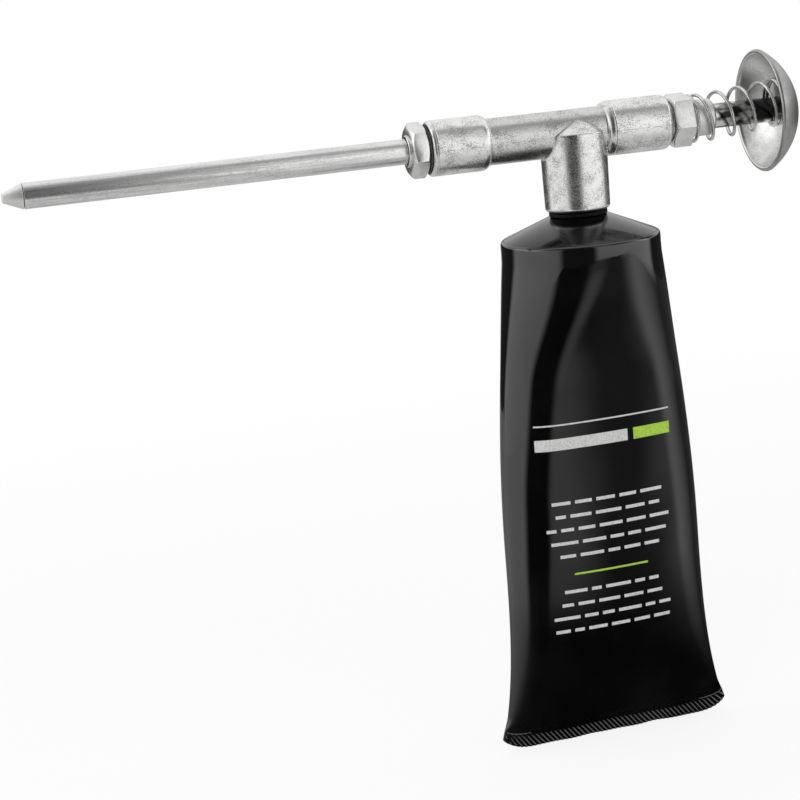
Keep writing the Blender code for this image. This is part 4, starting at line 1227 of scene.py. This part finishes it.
def make_studio():
    """White to the camera. Round the object: a bank of light on each side, a dark gap between
    them where the camera stands, dark strips at the sides, and white above and behind."""
    world = bpy.data.worlds.new("studio")
    bpy.context.scene.world = world
    world.use_nodes = True
    tree = world.node_tree
    background = tree.nodes["Background"]
    background.inputs["Color"].default_value = (1, 1, 1, 1)
    way = Signal(tree, tree.nodes.new("ShaderNodeTexCoord").outputs["Generated"])
    camera, sharp = rays_of(tree, "Is Camera Ray", "Is Singular Ray")
    x, y, z = parts_of(way, "xyz")
    azimuth = azimuth_of(x, y)
    level = window(z, -0.6, 0.88, 0.08) * (1 - 0.45 * ease(z, 0.3, 0.85))
    level = level * (0.85 + 0.15 * ease(z, -0.25, 0))
    high = ease(z, 0.4, 0.75)
    left = window(azimuth, -117, -34, BANK_EDGE) * level
    left = left * (0.75 + 0.15 * ease(-azimuth, 35, 60)) * (1 - 0.85 * high)
    right = window(azimuth, 17, 111, BANK_EDGE) * level
    right = right * (0.93 + 0.1 * ease(azimuth, 30, 70))
    right = right * (1 - 0.85 * high * ease(azimuth, 42, 60))

    # For the mirror-smooth tube the right bank fades out downwards, to meet the darker floor
    fading = (1 - ease(z, -0.25, -0.19)) * (1 - ease(azimuth, 45, 65))
    right = right * (1 - 0.9 * sharp * fading)

    behind = 0.42 * ease(abs(azimuth), 163, 173)
    above = 0.85 * ease(y, -0.3, 0.06) * ease(z, 0.02, 0.18)
    overhead = 0.2 * ease(z, 0.7, 0.92) * (1 - above)
    below = 0.55 * (1 - ease(z, -0.72, -0.58))
    light = 0.04 + left + right + behind.most(above) + overhead + below
    strength = camera + light * (1 - camera)
    tree.links.new(strength.socket, background.inputs["Strength"])


def make_lamp():
    """A broad soft lamp above the left shoulder, for the plain level of light on matt things."""
    data = bpy.data.lights.new("soft_lamp", "AREA")
    data.shape = "RECTANGLE"
    data.size = LAMP_SIZE
    data.size_y = LAMP_SIZE
    data.energy = LAMP_POWER
    lamp = bpy.data.objects.new("soft_lamp", data)
    bpy.context.scene.collection.objects.link(lamp)
    lamp.location = LAMP_PLACE
    lamp.rotation_euler = (-LAMP_PLACE).to_track_quat("-Z", "Y").to_euler()
    lamp.visible_camera = False
    lamp.visible_glossy = False


def make_camera():
    data = bpy.data.cameras.new("camera")
    data.sensor_width = SENSOR_WIDTH
    data.lens = FOCAL_PIXELS / IMAGE_PIXELS * SENSOR_WIDTH
    data.clip_start = CAMERA_CLIP
    camera = bpy.data.objects.new("camera", data)
    bpy.context.scene.collection.objects.link(camera)
    flat = cos(CAMERA_ELEVATION)
    level = Vector((cos(CAMERA_AZIMUTH), sin(CAMERA_AZIMUTH), 0))
    back = Vector((level.y * flat, -level.x * flat, sin(CAMERA_ELEVATION)))
    upright = back.cross(level)
    right = cos(CAMERA_ROLL) * level + sin(CAMERA_ROLL) * upright
    up = cos(CAMERA_ROLL) * upright - sin(CAMERA_ROLL) * level
    camera.matrix_world = Matrix((right, up, back)).transposed().to_4x4()
    camera.location = CAMERA_TARGET + back * CAMERA_DISTANCE
    bpy.context.scene.camera = camera


plate = nickel_plate()
rubber = seal_rubber()

make_tee(cast_zinc())
make_union_nut(plate)
make_gland(plate)
make_ring("delivery_tube", "nozzle_tube", NOZZLE_BORE_RADIUS, NOZZLE_EDGE, drawn_steel(), "nozzle_steel")
make_tip(turned_steel())
make_valve(turned_brass(), plate)
button_middle, button_inner = hollow_sphere()
make_plunger(polished_rod(), pressed_nickel(button_middle, button_inner + HOLLOW_TONE_MARGIN), rubber)
make_springs(spring_wire())
make_ring("fibre_washer", "nozzle_washer", UNION_RADIUS, WASHER_EDGE, pressed_fibre(), "seal_rubber",
          pressed=WASHER_SQUEEZE)
make_ring("gland_packing", "packing_ring", ROD_BORE_RADIUS, PACKING_EDGE, rubber, "seal_rubber")
make_ring("front_packing_washer", "packing_washer_front", ROD_BORE_RADIUS, WASHER_EDGE, plate, "plated_steel")
make_ring("rear_packing_washer", "packing_washer_rear", ROD_BORE_RADIUS, WASHER_EDGE, plate, "plated_steel")
make_ring("neck_seal", "neck_gasket", NECK_SOCKET_RADIUS, GASKET_EDGE, rubber, "seal_rubber", "gasket", "Z")
make_head(moulded_black())
sleeve = make_sleeve(gloss_black(), soft_grease())

white_ink = printed_ink("white_ink", (0.5, 0.5, 0.5), (0.72, 0.72, 0.71))
lime_ink = printed_ink("lime_ink", (0.28, 0.5, 0.03), (0.45, 0.72, 0.06))
make_print(sleeve, white_ink, lime_ink)

make_floor()
make_studio()
make_lamp()
make_camera()
bpy.context.scene.view_settings.view_transform = "Standard"
